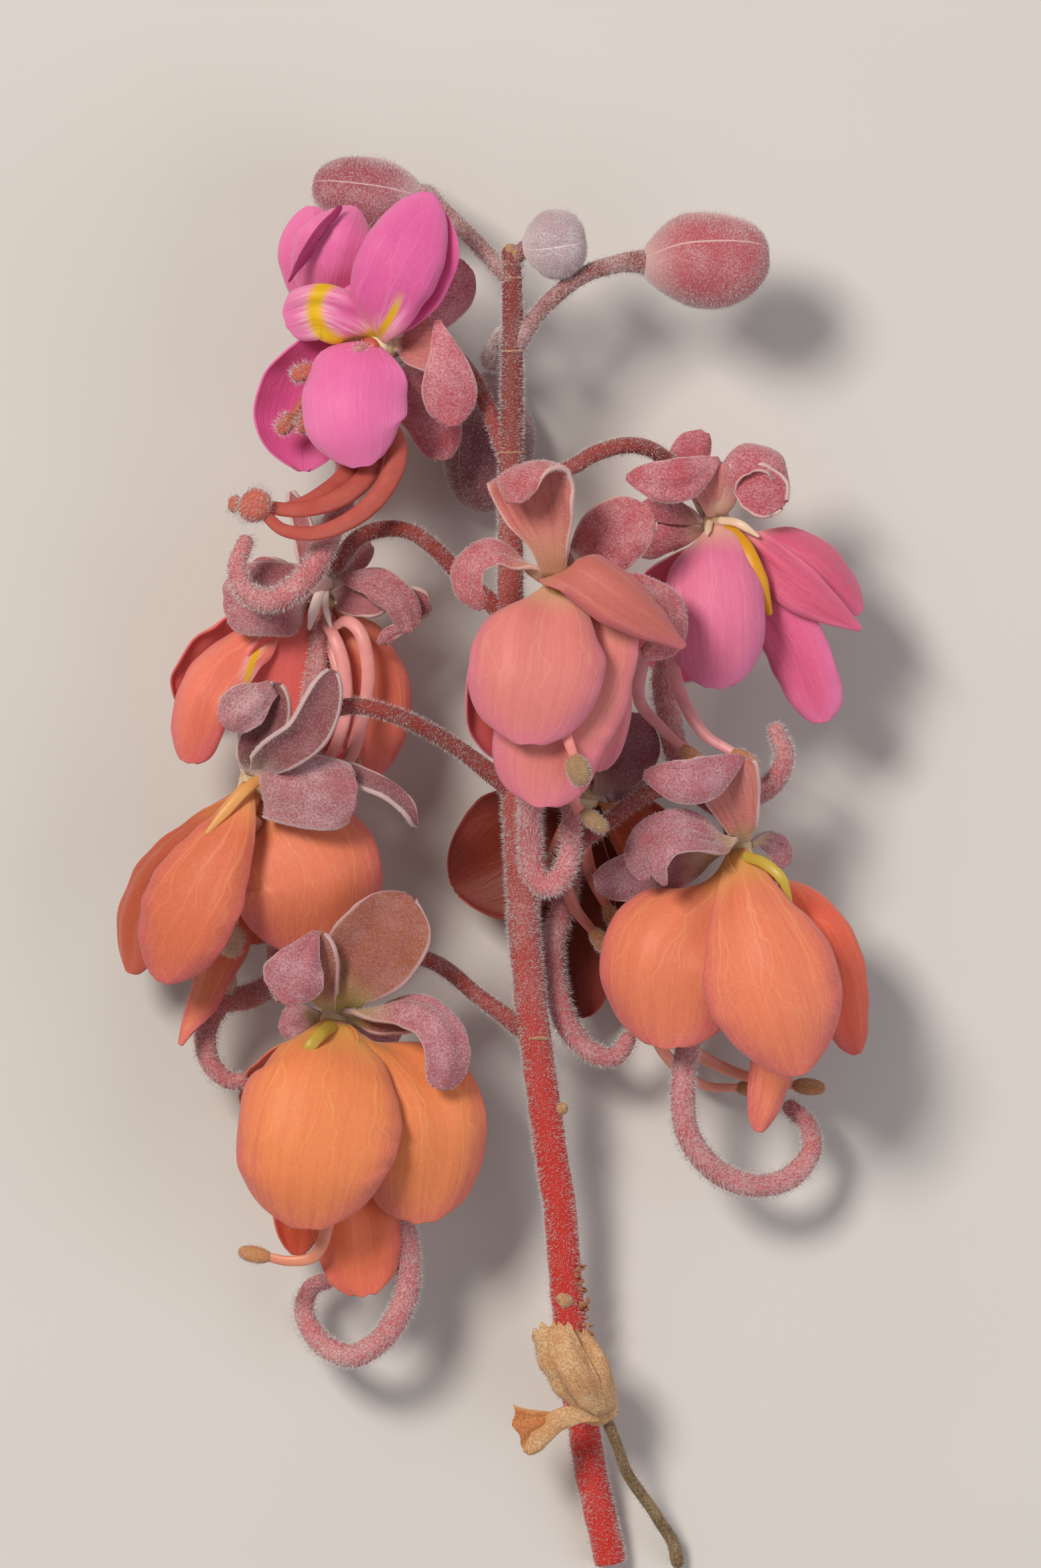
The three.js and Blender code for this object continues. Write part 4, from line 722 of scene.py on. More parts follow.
def blade(
    points, claw_side, width, outline, grid, cup=0.5, facing=(0, 0, 1), thick=(0.34, 0.2),
    ruffle=0.07, folds=0.1, curl=0.0, torn=0.04, start=0.0, seed=0,
):
    """A leafy blade along a smooth line, which stands across claw_side at its root. Its width
    follows the outline. Across, it bends away from its facing side by cup radians at the
    margin, and by curl more at the very edge. Ruffles grow to the margin, low folds run
    lengthwise, and torn makes the end uneven. Both faces stand off the middle sheet by half the
    thickness, which falls from thick's first value to its second.
    """
    rng = np.random.default_rng(seed)
    rows, columns = grid
    along = 1 - (1 - np.linspace(0, 1, rows)) ** TIP_CROWDING
    spread = np.pi / 2 * EDGE_CROWDING
    u = np.sin(np.linspace(-1, 1, columns) * spread) / np.sin(spread)
    places, directions, length = line_through(points, along)
    normals = carried(directions, facing, int(np.argmin(np.abs(along - MIDDLE_SHARE))))
    sides = np.cross(directions, normals)
    claw = sides[0] if claw_side is None else claw_side * (1 if claw_side @ sides[0] >= 0 else -1)
    t = along[:, None]
    opened = rise(0, CLAW_SHARE, t)
    across = square_to(claw * (1 - opened) + sides * opened, directions)
    outward = np.cross(across, directions)
    half = width / 2 * bowed(outline, along)[:, None]
    uneven = 1 + 0.02 * np.sin(t * rng.uniform(4, 8) + np.sign(u) * 1.3 + seed)
    between = (u[1:] + u[:-1]) / 2
    bend = (cup * opened + FLAT_BEND) * between + curl * opened * between**7
    runs, falls = (
        np.pad(np.cumsum(part * np.diff(u), axis=1), ((0, 0), (1, 0)))
        for part in (np.cos(bend), np.sin(bend))
    )
    origin = lambda sums: sums - np.stack([np.interp(0, u, row) for row in sums])[:, None]
    aside, drop = origin(runs) * half * uneven, origin(falls) * half
    edge = np.abs(u) ** 3 * opened
    waves = sum(
        np.sin(t * length * rng.uniform(0.9, 2.6) + np.sign(u) * phase + phase)
        for phase in rng.uniform(0, 6.3, 3)
    )
    creases = sum(
        np.sin(u * rng.uniform(2.5, 8) + t * rng.uniform(-2, 2) + rng.uniform(0, 6.3))
        for _ in range(3)
    )
    inland = opened * np.minimum(half / 2, 1) * (1 - 0.8 * u**4) * (1 - 0.8 * t**5)
    lift = ruffle * waves * edge + folds * creases * inland
    pull = -TIP_PULL * half * u**2 * t**2
    notches = torn * np.sin(u * rng.uniform(6, 10) + seed) * t**12 * np.minimum(half, 2)
    middle = (
        places[:, None]
        + across[:, None] * aside[..., None]
        + outward[:, None] * (lift - drop)[..., None]
        + directions[:, None] * (pull + notches)[..., None]
    )
    middle[..., 2] = np.maximum(middle[..., 2], LIE_LEVEL)
    skin = unit(np.cross(np.gradient(middle, axis=1), np.gradient(middle, axis=0)))
    on_table = middle[..., 2] <= LIE_LEVEL
    skin[on_table] = np.array([0, 0, 1.0]) * np.sign(skin[on_table][:, 2:3])
    fullness = (1 - u**4) * (1 - t**6)
    gap = (thick[1] + (thick[0] - thick[1]) * fullness)[..., None] / 2
    i, j = np.meshgrid(np.arange(rows - 1), np.arange(columns - 1), indexing="ij")
    corner = (i * columns + j).ravel()
    back = rows * columns
    upper = np.stack([corner, corner + 1, corner + columns + 1, corner + columns], -1)
    rim = np.concatenate(
        [
            np.arange(columns - 1),
            np.arange(rows - 1) * columns + columns - 1,
            (rows - 1) * columns + np.arange(columns - 1, 0, -1),
            np.arange(rows - 1, 0, -1) * columns,
        ]
    )
    onward = np.roll(rim, -1)
    band = np.stack([rim, rim + back, onward + back, onward], -1)
    own = rng.random()
    stacked = lambda *marks: np.stack(np.broadcast_arrays(*marks, skin[..., 0])[:3], -1)
    where = [stacked(u, start + (1 - start) * t, side).reshape(-1, 3) for side in (1.0, -1.0)]
    size = stacked(half, t * length, own).reshape(-1, 3)
    lie = np.broadcast_to(directions[:, None], middle.shape)
    cover = np.broadcast_to(0.7 + 2.0 * np.abs(u) ** 8, middle.shape[:2])
    skins = [
        {"grid": middle + face * gap, "normals": face, "lie": lie, "cover": cover}
        for face in (skin, -skin)
    ]
    return {
        "points": np.vstack([side["grid"].reshape(-1, 3) for side in skins]),
        "quads": np.vstack([upper, upper[:, ::-1] + back, band]),
        "where": np.vstack(where),
        "size": np.vstack([size, size]),
        "skins": skins,
    }


def ring_of_blades(blades, letter, root, outline, seed, **shared):
    """A flower's blades. Each grows from the disc, but a fold starts at its own first point, on
    a neighbour's edge: it is the part of that blade which is turned over.
    """
    centre, axis = axis_of(letter)
    forms = []
    for order, form in enumerate(blades):
        shape = shared | {"outline": outline, "seed": seed + order} | form
        path, fold = shape.pop("path"), shape.pop("fold", False)
        foot, claw_side = root_on(root, path[0], centre, axis)
        if fold:
            forms.append(blade(path, None, start=FOLD_SHARE, **shape))
        else:
            forms.append(blade([foot, *path], claw_side, **shape))
    return forms


def turned(letter, profile, sides=28):
    """A round body on a flower's axis from pairs of height and radius."""
    centre, axis = axis_of(letter)
    heights, radii = np.array(profile, float).T[..., None, None]
    first = square_to(np.array(SKEW), axis)
    angles = 2 * np.pi * np.arange(sides)[:, None] / sides
    ring = first * np.cos(angles) + np.cross(axis, first) * np.sin(angles)
    return closed(centre + axis * heights + ring * radii)


receptacle_felt = felt(
    "pale_receptacle", "#c8a47c", "#dcc8a8", "#d8bc98", "#a88858", cover=(0.6, 1.0)
)
for number, (letter, sepals) in enumerate(SEPALS.items()):
    finish = felt(f"felted_sepal_{letter}", *CALYX_COLOURS[letter])
    name, slot, seed = f"calyx_{letter}", "felted_sepal", 100 + 10 * number
    blades = ring_of_blades(
        sepals, letter, SEPAL_ROOT, SEPAL, seed, grid=SEPAL_GRID, thick=(0.45, 0.3)
    )
    coat = hairs(blades, per_mm2=18, length=0.2, width=0.034, lean=0.3, seed=200 + number)
    add_piece(f"{name}_sepals", blades, finish, slot, name)
    add_piece(f"{name}_receptacle", [turned(letter, RECEPTACLE)], receptacle_felt, slot)
    add_piece(f"{name}_hairs", [coat], white_hair, slot)

# The corollas
# Each open flower has five thin satin petals, narrow at the foot and broad and cupped above,
# pink near the stem's tip and orange below it, with pale forking veins and pinker margins. They
# are grown fast to a small disc inside the calyx.

# Half widths of blades as above, for petals
PETAL = [(0, 0.12), (0.1, 0.3), (0.2, 0.6), (0.34, 0.88), (0.52, 1), (0.68, 0.98), (0.82, 0.86),
    (0.92, 0.66), (0.975, 0.42), (1, 0.18)]
COLLARED = [(0, 0.2), (0.12, 0.5), (0.24, 0.86), (0.45, 1), (0.7, 1), (0.87, 0.82), (0.96, 0.54),
    (1, 0.2)]
ROUND = [(0, 0.22), (0.08, 0.5), (0.18, 0.8), (0.32, 0.96), (0.5, 1), (0.7, 0.98), (0.85, 0.88),
    (0.95, 0.66), (1, 0.36)]
BROAD = [(0, 0.12), (0.1, 0.32), (0.2, 0.62), (0.34, 0.88), (0.52, 1), (0.7, 0.99), (0.83, 0.94),
    (0.92, 0.83), (0.975, 0.66), (1, 0.38)]
SLOPED = [(0, 0.12), (0.15, 0.32), (0.3, 0.6), (0.45, 0.85), (0.6, 1), (0.75, 0.98), (0.87, 0.84),
    (0.96, 0.58), (1, 0.26)]
BLUNT_FOOT = [(0, 0.5), (0.1, 0.8), (0.3, 0.95), (0.5, 1), (0.75, 0.74), (0.92, 0.34), (1, 0.1)]
SPINDLE = [(0, 0.3), (0.14, 0.62), (0.35, 0.95), (0.55, 1), (0.78, 0.68), (0.93, 0.3), (1, 0.1)]
# Each petal: width, middle line and bends, as for the sepals above
PETALS = {
    "a": [
        dict(width=4.1, outline=BOXY, cup=0.35, facing=(0.1, -0.2, 1), path=[(-10.2, 38, 16.8),
            (-12.4, 38.8, 17.8), (-14.9, 38.2, 16)]),
        dict(width=6.5, outline=COLLARED, cup=0.6, facing=(-0.1, 0, 1), path=[(-10.2, 38.6, 15.2),
            (-11.7, 40.2, 14.6), (-11.6, 42.2, 16.6), (-10.9, 44.4, 17.2), (-10, 46.3, 15.6)]),
        dict(width=5.2, facing=(-0.4, 0.2, 0.85), path=[(-12, 39.8, 11.4), (-13.4, 42.6, 12.4),
            (-12.9, 46.4, 12.6)]),
        dict(width=7, cup=0.8, facing=(0.1, 0, 1), path=[(-8.2, 38.4, 18.2), (-6.7, 42, 20),
            (-4.5, 47.2, 18.4)]),
        dict(width=2.7, outline=LEAF, facing=DOWN, path=[(-5.9, 38.9, 16.4), (-3.8, 42.5, 17),
            (-4, 46.4, 17)]),
        dict(width=8.5, cup=0.75, outline=ROUND, fold=True, path=[(-8.9, 36.5, 16),
            (-9.5, 35.3, 17.8), (-9.9, 32.8, 19.4), (-9.8, 30.2, 19.6), (-9.2, 27.9, 18.6)]),
        dict(width=8.2, cup=0.6, facing=DOWN, path=[(-12, 34.8, 13), (-13.4, 32, 12),
            (-13.6, 27.6, 12.4)]),
        # A narrow dark sheet in painted shade, for the shadow line along a crease of the upper left
        # petal
        dict(width=0.75, outline=LEAF, facing=(-0.3, 0.2, 1), fold=True, path=[(-14.6, 41, 16),
            (-13.5, 42.9, 17.5), (-12.3, 44.7, 18.1), (-10.9, 46.3, 17.4)]),
    ],
    "b": [
        dict(width=8.2, cup=0.75, outline=BROAD, path=[(15.3, 21.4, 16.4), (15.6, 17.2, 17.6),
            (15.8, 12.2, 15.8)]),
        dict(width=5, outline=BROAD, facing=(-0.4, 0, 0.9), path=[(18, 20.2, 13.2),
            (20.9, 15.5, 12.6), (23.3, 9.8, 10.6)]),
        dict(width=5.2, facing=(0.4, 0.3, 0.85), path=[(18.9, 23, 12.4), (22.5, 21.1, 12.8),
            (26, 17.7, 11)]),
        dict(width=3.6, outline=SPINDLE, path=[(19, 21.5, 14.2), (22, 18.9, 14.6),
            (25.9, 16.4, 13)]),
        dict(width=7.6, cup=0.6, facing=DOWN, path=[(13.7, 20.3, 6.4), (13, 16.5, 1.4),
            (14, 12.8, -0.8)]),
    ],
    "c": [
        dict(width=11, cup=0.75, outline=BROAD, path=[(3.3, 17, 27.4), (2.8, 13, 28.8),
            (2.2, 8.2, 27.8)]),
        dict(width=9, cup=0.65, outline=BROAD, path=[(7.2, 17.2, 24), (5.8, 13, 25.2),
            (3.9, 8.6, 25.6), (3.2, 3.8, 24.8)]),
        dict(width=6.6, facing=(-0.5, 0, -0.8), path=[(1.5, 16, 20.6), (0, 12, 20),
            (0.5, 7.2, 19)]),
        dict(width=6, facing=(0.3, 0, 1), path=[(6.8, 16, 21), (7.3, 11.5, 20.3),
            (7.3, 6.3, 19.6)]),
        dict(width=4.8, cup=0.75, outline=BLUNT_FOOT, facing=(0.2, 0.3, 1), path=[(5.6, 20.7, 26.6),
            (8.8, 18.7, 27.6), (13.4, 15.1, 25.6)]),
    ],
    "d": [
        dict(width=4.8, outline=BROAD, facing=(-0.45, 0, 0.9), path=[(-17.4, 15.6, 10.4),
            (-20.7, 12, 12.2), (-22, 7, 10.4)]),
        dict(width=7, facing=(-0.6, 0, -0.6), path=[(-16.5, 16.8, 6.6), (-20.2, 14, 5),
            (-21.8, 10.5, 3.6)]),
        dict(width=9.4, outline=COLLARED, facing=DOWN, path=[(-13.2, 16.4, 10.2), (-13.9, 11.5, 9),
            (-13.8, 6.2, 7.6)]),
        dict(width=6.4, cup=0.6, facing=(0.3, 0, 0.95), path=[(-9.8, 15.2, 10.6),
            (-8.4, 11.5, 10.8), (-8.6, 6, 9.6)]),
        dict(width=8.6, facing=DOWN, path=[(-11, 15.2, 4.4), (-11, 11.2, 0.9), (-11.3, 6.8, -0.8)]),
    ],
    "e": [
        dict(width=7.6, outline=SLOPED, facing=(-0.3, 0, 0.95), path=[(-18.6, 2.8, 16.4),
            (-20.7, -0.9, 17.4), (-22.3, -4.4, 17), (-23.9, -8.5, 14.8)]),
        dict(width=5, outline=SLOPED, facing=(-0.6, 0, 0.75), path=[(-19.8, 3.2, 11.4),
            (-23.2, 0, 10.4), (-25.4, -3.8, 8.8), (-26, -8, 7.4)]),
        dict(width=12, cup=0.6, outline=BROAD, facing=(0.15, 0, 1), path=[(-15.3, 2.8, 14.4),
            (-13, -1.4, 14.8), (-13.3, -6.7, 11.6)]),
        dict(width=4.4, outline=SPINDLE, facing=(-0.4, 0, 0.85), path=[(-18.8, -2, 8),
            (-20.2, -8, 8.8), (-22.4, -13.1, 9.4)]),
        dict(width=9, facing=DOWN, path=[(-17.2, 2, 5.6), (-17.2, -2, 0.9), (-17.2, -6, -0.8)]),
    ],
    "f": [
        dict(width=13, cup=0.7, outline=BROAD, path=[(-11.6, -14.8, 18.2), (-12.4, -18.2, 19.5),
            (-13, -22.2, 19.3), (-13.2, -26.1, 17.2)]),
        dict(width=9.8, outline=BROAD, facing=(0.25, 0, 0.96), path=[(-7.2, -14.2, 14),
            (-4.8, -18.5, 15), (-5.1, -25.7, 12.4)]),
        dict(width=7, outline=BROAD, ruffle=0.1, torn=0.06, facing=(0.1, 0, 1),
            path=[(-10.8, -19, 11), (-9.9, -25, 11.4), (-9.2, -30.9, 10)]),
        dict(width=5, facing=DOWN, path=[(-12.8, -18.5, 6.6), (-13.8, -23.6, 5.8),
            (-14.1, -28.1, 5.6)]),
        dict(width=7, facing=DOWN, path=[(-14, -13.9, 8.6), (-15, -16.8, 2.6),
            (-14.6, -20.4, -0.8)]),
    ],
    "g": [
        dict(width=11, outline=BROAD, facing=(-0.2, 0, 1), path=[(14.9, -2.8, 14.4), (12.3, -7, 16),
            (12, -13.3, 13.8)]),
        dict(width=10.8, outline=SLOPED, cup=0.7, path=[(17.9, -3.2, 17.8), (19.1, -6.8, 19.4),
            (20.3, -10.8, 19.4), (21.5, -15.2, 17.4)]),
        dict(width=5.6, facing=(0.6, 0, 0.7), path=[(21.2, -2.2, 12), (24.3, -6.5, 12.4),
            (25.8, -13.7, 10)]),
        dict(width=3.8, facing=(0.2, 0, 1), path=[(18.6, -7, 8.6), (19.9, -13, 8.4),
            (18.7, -19.3, 7.8)]),
        dict(width=9, facing=DOWN, path=[(16.7, -3, 6.4), (16.4, -7.2, 1.2), (16.4, -11.6, -0.8)]),
    ],
    "h": [
        dict(width=9.2, cup=0.35, facing=DOWN, path=[(4.1, 3.2, 5.4), (0.8, 0.2, 5.8),
            (-3, -2, 5.6)]),
        dict(width=5.8, facing=DOWN, path=[(6, 0, 4.8), (5.9, -5.5, 4.6), (6.2, -11.2, 3.8)]),
        dict(width=5, path=[(9, 3.3, 6.2), (11, 1.2, 6.4), (12, -2, 5.6)]),
        dict(width=4.8, facing=DOWN, path=[(8, 0, 3.4), (8.8, -5, 2.6), (8.6, -9.5, 1.8)]),
        dict(width=6, facing=DOWN, path=[(5.2, 2.2, 3), (3.4, 0, 0.7), (2.2, -3.6, -0.5)]),
    ],
}
# As for the sepals: where petals leave their disc, and a petal's rows and columns
PETAL_ROOT = (0.25, 0.85)
PETAL_GRID = (38, 22)
# Veins on half a petal's width, and the side veins' slant and half the gap between them
VEINS = 1.6
SIDE_VEIN_SLANT = 1.5
SIDE_VEIN_GAP = 1.15
# Height and radius up the small pale cushion that the petals stand on
PETAL_CUSHION = [(-0.2, 0.7), (0, 0.9), (0.3, 0.95), (0.6, 0.8), (0.75, 0.4)]
# The narrow claws that show between calyx and blades: colour, width and middle line
CLAWS = {
    "b": [
        ("#d8981c", 1.3, [(16.6, 23.3, 14), (17.7, 22, 15.4), (18.6, 20, 15.8),
         (19.4, 17.6, 14.8)]),
        ("#e4c8ac", 0.6, [(16, 24.1, 13.4), (17.2, 23.9, 14.6), (18.6, 23, 14.8)]),
        ("#e4c8ac", 0.5, [(15.2, 24, 13.2), (15, 23.1, 14.8)]),
    ],
    "c": [
        ("#ccac70", 1.7, [(4.6, 20.4, 23), (4.8, 19.4, 24.2), (4.6, 18.2, 25.6)]),
    ],
    "d": [
        ("#f8e0d8", 0.75, [(-12.3, 19.4, 11.4), (-12.8, 18, 12.6), (-13.2, 16.5, 12)]),
        ("#f8e0d8", 0.45, [(-12, 19.2, 11.4), (-12, 17.8, 12.7), (-11.6, 16.4, 12.2)]),
    ],
    "e": [
        ("#dca05c", 0.8, [(-16.4, 6, 15), (-17.6, 5.1, 16.1), (-19, 3.6, 16.5), (-20.4, 2, 16.5)]),
        ("#e6d4c4", 0.7, [(-17.6, 4.9, 13.6), (-17.7, 3.2, 14.4), (-17.6, 1.8, 14.4)]),
    ],
    "f": [
        ("#b89c3c", 0.95, [(-11.6, -11.7, 14.4), (-12.4, -12.3, 16.6), (-13.2, -13.3, 17),
         (-13.6, -14.8, 15.6)]),
    ],
    "g": [
        ("#c0a844", 0.8, [(17.7, 0.3, 14), (19.1, -0.2, 16), (20.3, -1.3, 16.6), (20.9, -2.9, 16)]),
    ],
}
# For each flower: the colour of the blade's middle, margin, foot, inner face and veins, and slot
COROLLA_COLOURS = {
    "a": ("#e770a9", "#ea80b2", "#f0a8a4", "#d85492", "#ee8cb8", "petal_pink"),
    "b": ("#e0789a", "#de7ca8", "#ecb49c", "#cc4464", "#ea90aa", "petal_pink"),
    "c": ("#de827c", "#d87890", "#e8b890", "#c4504e", "#e89c8c", "petal_salmon"),
    "d": ("#ee7c66", "#dc6a70", "#f0b890", "#e26a6a", "#f4a07c", "petal_coral"),
    "e": ("#e47e5e", "#d0666a", "#e8a868", "#c4583e", "#f0a878", "petal_orange"),
    "f": ("#ea8856", "#d46e64", "#e4a44c", "#c04c34", "#f2aa68", "petal_orange"),
    "g": ("#e88260", "#d46c6c", "#e4a858", "#b84434", "#f0a878", "petal_orange"),
    # Flower h hangs behind the stem: its colours are darkened by painted shade, for the shadow it
    # lies in
    "h": ("#a8482f", "#984040", "#c08450", "#641f14", "#c8704c", "petal_orange"),
}
# Petals with a skin of their own, by flower and place in the ring: the five colours where they
# differ from the flower's, and a yellow mark. The dark pink one is a narrow sheet in painted shade:
# it stands for the dark shadow line along a crease of the upper left petal, and is laid on that
# petal, not folded from it.
OWN_PETALS = {
    ("a", 0): (None, ((-10.3, 39), 2.5, 0.62, 1.0)),
    ("a", 3): (("#de62a0", "#e474ac", "#f0a8a4", "#d05090", "#e684b4"),
        ((-14.6, 42.6), 8.3, 0.3, 0.42)),
    # Painted shade: the dark sheet for a crease's shadow line
    ("a", 7): (("#8c2454", "#9c2c60", "#8c2454", "#701440", "#a03468"), None),
    ("b", 1): (("#e46893", "#e078a8", "#ecb49c", "#cc4464", "#ee88a8"), None),
    ("b", 2): (("#d65e7e", "#dc6e92", "#ecb49c", "#c03c5c", "#e07c94"), None),
    ("b", 3): (("#d65e7e", "#dc6e92", "#ecb49c", "#c03c5c", "#e07c94"), None),
    ("c", 4): (("#c26a62", "#b86470", "#cc8a6c", "#b45450", "#cc8472"), None),
    ("d", 0): (None, ((-6, 10), 11.95, 0.24, 0.6)),
    ("e", 0): (("#d46f4e", "#c46062", "#e8a868", "#c4583e", "#e8986c"), None),
    # Darker than the flower's colours: painted shade, for the front petal's shadow on this back
    # petal
    ("e", 1): (("#b8583e", "#c0604c", "#d89058", "#9c3c2c", "#cc7450"), None),
    # Redder than the flower's, and also painted lighter to make up for the shade this petal lies in
    ("f", 2): (("#f47c54", "#dc6a5c", "#e8ac50", "#d05a3c", "#f49c68"), None),
    # Redder than the flower's, and also painted lighter to make up for the shade this petal lies in
    ("g", 2): (("#ee664c", "#d05c58", "#e09058", "#b84438", "#ea8664"), None),
}


def petal_satin(name, body, rim, foot, inside, vein, blotch=None):
    """Thin satin petal: watery tissue that some light passes through. The colour runs from the
    foot to the middle to the margin. Pale veins fork on their way to the margin, slanted side
    veins and a faint net join them, all drawn a little wider than life so that they show. A
    blotch is a yellow arc: its centre seen from above, its radius and half its width in
    millimetres, and how far along the blade it reaches.
    """
    material, tree, places = new_finish(name)
    mark, extent = (
        add(tree, "Attribute", [], attribute_name=word).outputs["Vector"]
        for word in ("where", "size")
    )
    across, along, side = add(tree, "SeparateXYZ", [mark]).outputs
    half, reach, own = add(tree, "SeparateXYZ", [extent]).outputs
    slow = add(tree, "TexNoise", {"Vector": places, "Scale": 0.28, "Detail": 2.0})
    cells = add(tree, "TexNoise", {"Vector": places, "Scale": 4.5, "Detail": 2.0})
    # Fine lengthwise streaks: noise that is read along the blade's own lines
    lines = add(tree, "CombineXYZ", [across, along, own])
    drawn = add(tree, "Mapping", {"Vector": lines, "Scale": (13, 2.2, 37)})
    streaks = add(
        tree, "TexNoise", {"Vector": drawn, "Scale": 1.0, "Detail": 4.0, "Roughness": 0.6}
    )
    # Veins: distance to the nearest of evenly spaced lines that wander and then part in two
    wander = add(tree, "Math", [slow, 0.8, -0.4], operation="MULTIPLY_ADD")
    lane = add(tree, "Math", [across, VEINS, wander], operation="MULTIPLY_ADD")
    stagger = add(tree, "Math", [slow, 0.7, along], operation="MULTIPLY_ADD")
    fork = add(tree, "MapRange", [stagger, 0.6, 1.3, 0.0, 0.27], **SMOOTH)
    branches = [add(tree, "Math", [lane, fork], operation=sign) for sign in ("ADD", "SUBTRACT")]
    beside = [add(tree, "Math", [branch, 0.5], operation="PINGPONG") for branch in branches]
    nearest = add(tree, "Math", beside, operation="MINIMUM")
    off = add(tree, "Math", [nearest, half], operation="MULTIPLY")
    distance = add(tree, "Math", [off, VEINS], operation="DIVIDE")
    veins = add(tree, "MapRange", [distance, 0.01, 0.12, 1.0, 0.0], **SMOOTH)
    fades = add(tree, "MapRange", [along, 0.3, 0.95, 0.4, 0.08], **SMOOTH)
    shown = add(tree, "Math", [veins, fades], operation="MULTIPLY")
    # Side veins: slanted lines that leave the middle of the blade on both sides
    sideways = add(tree, "Math", [across, half], operation="MULTIPLY")
    out = add(tree, "Math", [sideways], operation="ABSOLUTE")
    slanted = add(tree, "Math", [out, -SIDE_VEIN_SLANT, reach], operation="MULTIPLY_ADD")
    bent = add(tree, "Math", [slow, 5.0, slanted], operation="MULTIPLY_ADD")
    gaps = add(tree, "Math", [bent, SIDE_VEIN_GAP], operation="PINGPONG")
    side_veins = add(tree, "MapRange", [gaps, 0.0, 0.13, 0.16, 0.0], **SMOOTH)
    # The net: edges of stretched cells on the blade laid flat
    flat = add(tree, "CombineXYZ", [sideways, reach, own])
    squeezed = add(tree, "Mapping", {"Vector": flat, "Scale": (1.5, 0.8, 20)})
    net = add(
        tree, "TexVoronoi", {"Vector": squeezed, "Scale": 1.0}, feature="DISTANCE_TO_EDGE"
    )
    threads = add(tree, "MapRange", [net, 0.0, 0.09, 0.1, 0.0], **SMOOTH)
    # The margin: a ragged line that runs round the sides and the tip
    square = add(tree, "Math", [across, 2.0], operation="POWER")
    aside = add(tree, "Math", [square, 0.6], operation="MULTIPLY")
    ahead = add(tree, "Math", [along, 5.0], operation="POWER")
    edge = add(tree, "Math", [ahead, 0.6, aside], operation="MULTIPLY_ADD")
    ragged = add(tree, "Math", [streaks, 0.4, edge], operation="MULTIPLY_ADD")
    layers = [
        (add(tree, "MapRange", [ragged, 0.38, 0.95], **SMOOTH), rim),
        (add(tree, "MapRange", [streaks, 0.42, 0.75, 0.0, 0.22]), inside),
        (add(tree, "MapRange", [cells, 0.4, 0.75, 0.0, 0.16]), vein),
        (add(tree, "MapRange", [along, 0.04, 0.3, 1.0, 0.0], **SMOOTH), foot),
        (threads, vein),
        (side_veins, vein),
        (shown, vein),
        (add(tree, "MapRange", [side, 0.5, -0.5, 0.0, 0.8]), inside),
    ]
    if blotch:
        (x, y), radius, width, end = blotch
        level = add(tree, "VectorMath", [places, (1.0, 1.0, 0.0)], operation="MULTIPLY")
        away = add(tree, "VectorMath", [level, (x, y, 0.0)], operation="DISTANCE")
        gap = add(tree, "Math", [away, radius], operation="SUBTRACT")
        clear = add(tree, "Math", [gap], operation="ABSOLUTE")
        band = add(tree, "MapRange", [clear, width * 0.35, width * 1.5, 1.0, 0.0], **SMOOTH)
        halo = add(tree, "MapRange", [clear, width, width * 3.5, 1.0, 0.0])
        stop = add(tree, "MapRange", [along, end * 0.7, end * 1.1, 1.0, 0.0], **SMOOTH)
        marbled = add(tree, "MapRange", [streaks, 0.4, 0.6, 0.0, 0.75])
        yellow = add(tree, "Math", [band, stop], operation="MULTIPLY")
        pale = add(tree, "Math", [halo, stop], operation="MULTIPLY")
        white = add(tree, "Math", [pale, marbled], operation="MULTIPLY")
        layers += [(white, "#f6d0dc"), (yellow, "#e2b41c")]
    # Relief: the streaks, the veins on them, and a fine sparkle of cells on both
    relief = {}
    for height, strength, depth in (
        (streaks, 0.3, 0.0002), (veins, 0.25, 0.00004), (cells, 0.25, 0.00006)
    ):
        sizes = {"Height": height, "Strength": strength, "Distance": depth}
        bump = add(tree, "Bump", sizes | relief)
        relief = {"Normal": bump}
    values = {
        "Roughness": 0.5, "IOR": 1.42, "Specular IOR Level": 0.3, "Subsurface Weight": 0.25,
        "Subsurface Radius": (1.0, 0.45, 0.35), "Subsurface Scale": 0.0009,
        "Sheen Weight": 0.2, "Sheen Roughness": 0.45, "Sheen Tint": linear("#ffe2e6"),
    }
    return finished(material, body, layers, values, bump)


def filament_skin(name, colour, pale):
    """Thin watery stalk: satin, a little see-through, with faint lengthwise paler streaks."""
    material, tree, places = new_finish(name)
    streaks = add(tree, "TexNoise", {"Vector": places, "Scale": 0.9, "Detail": 3.0})
    relief = add(tree, "Bump", {"Height": streaks, "Strength": 0.2, "Distance": 0.0002})
    values = {
        "Roughness": 0.4, "IOR": 1.42, "Subsurface Weight": 0.35,
        "Subsurface Radius": (1.0, 0.45, 0.35), "Subsurface Scale": 0.0008,
    }
    return finished(material, colour, [(streaks, pale)], values, relief)


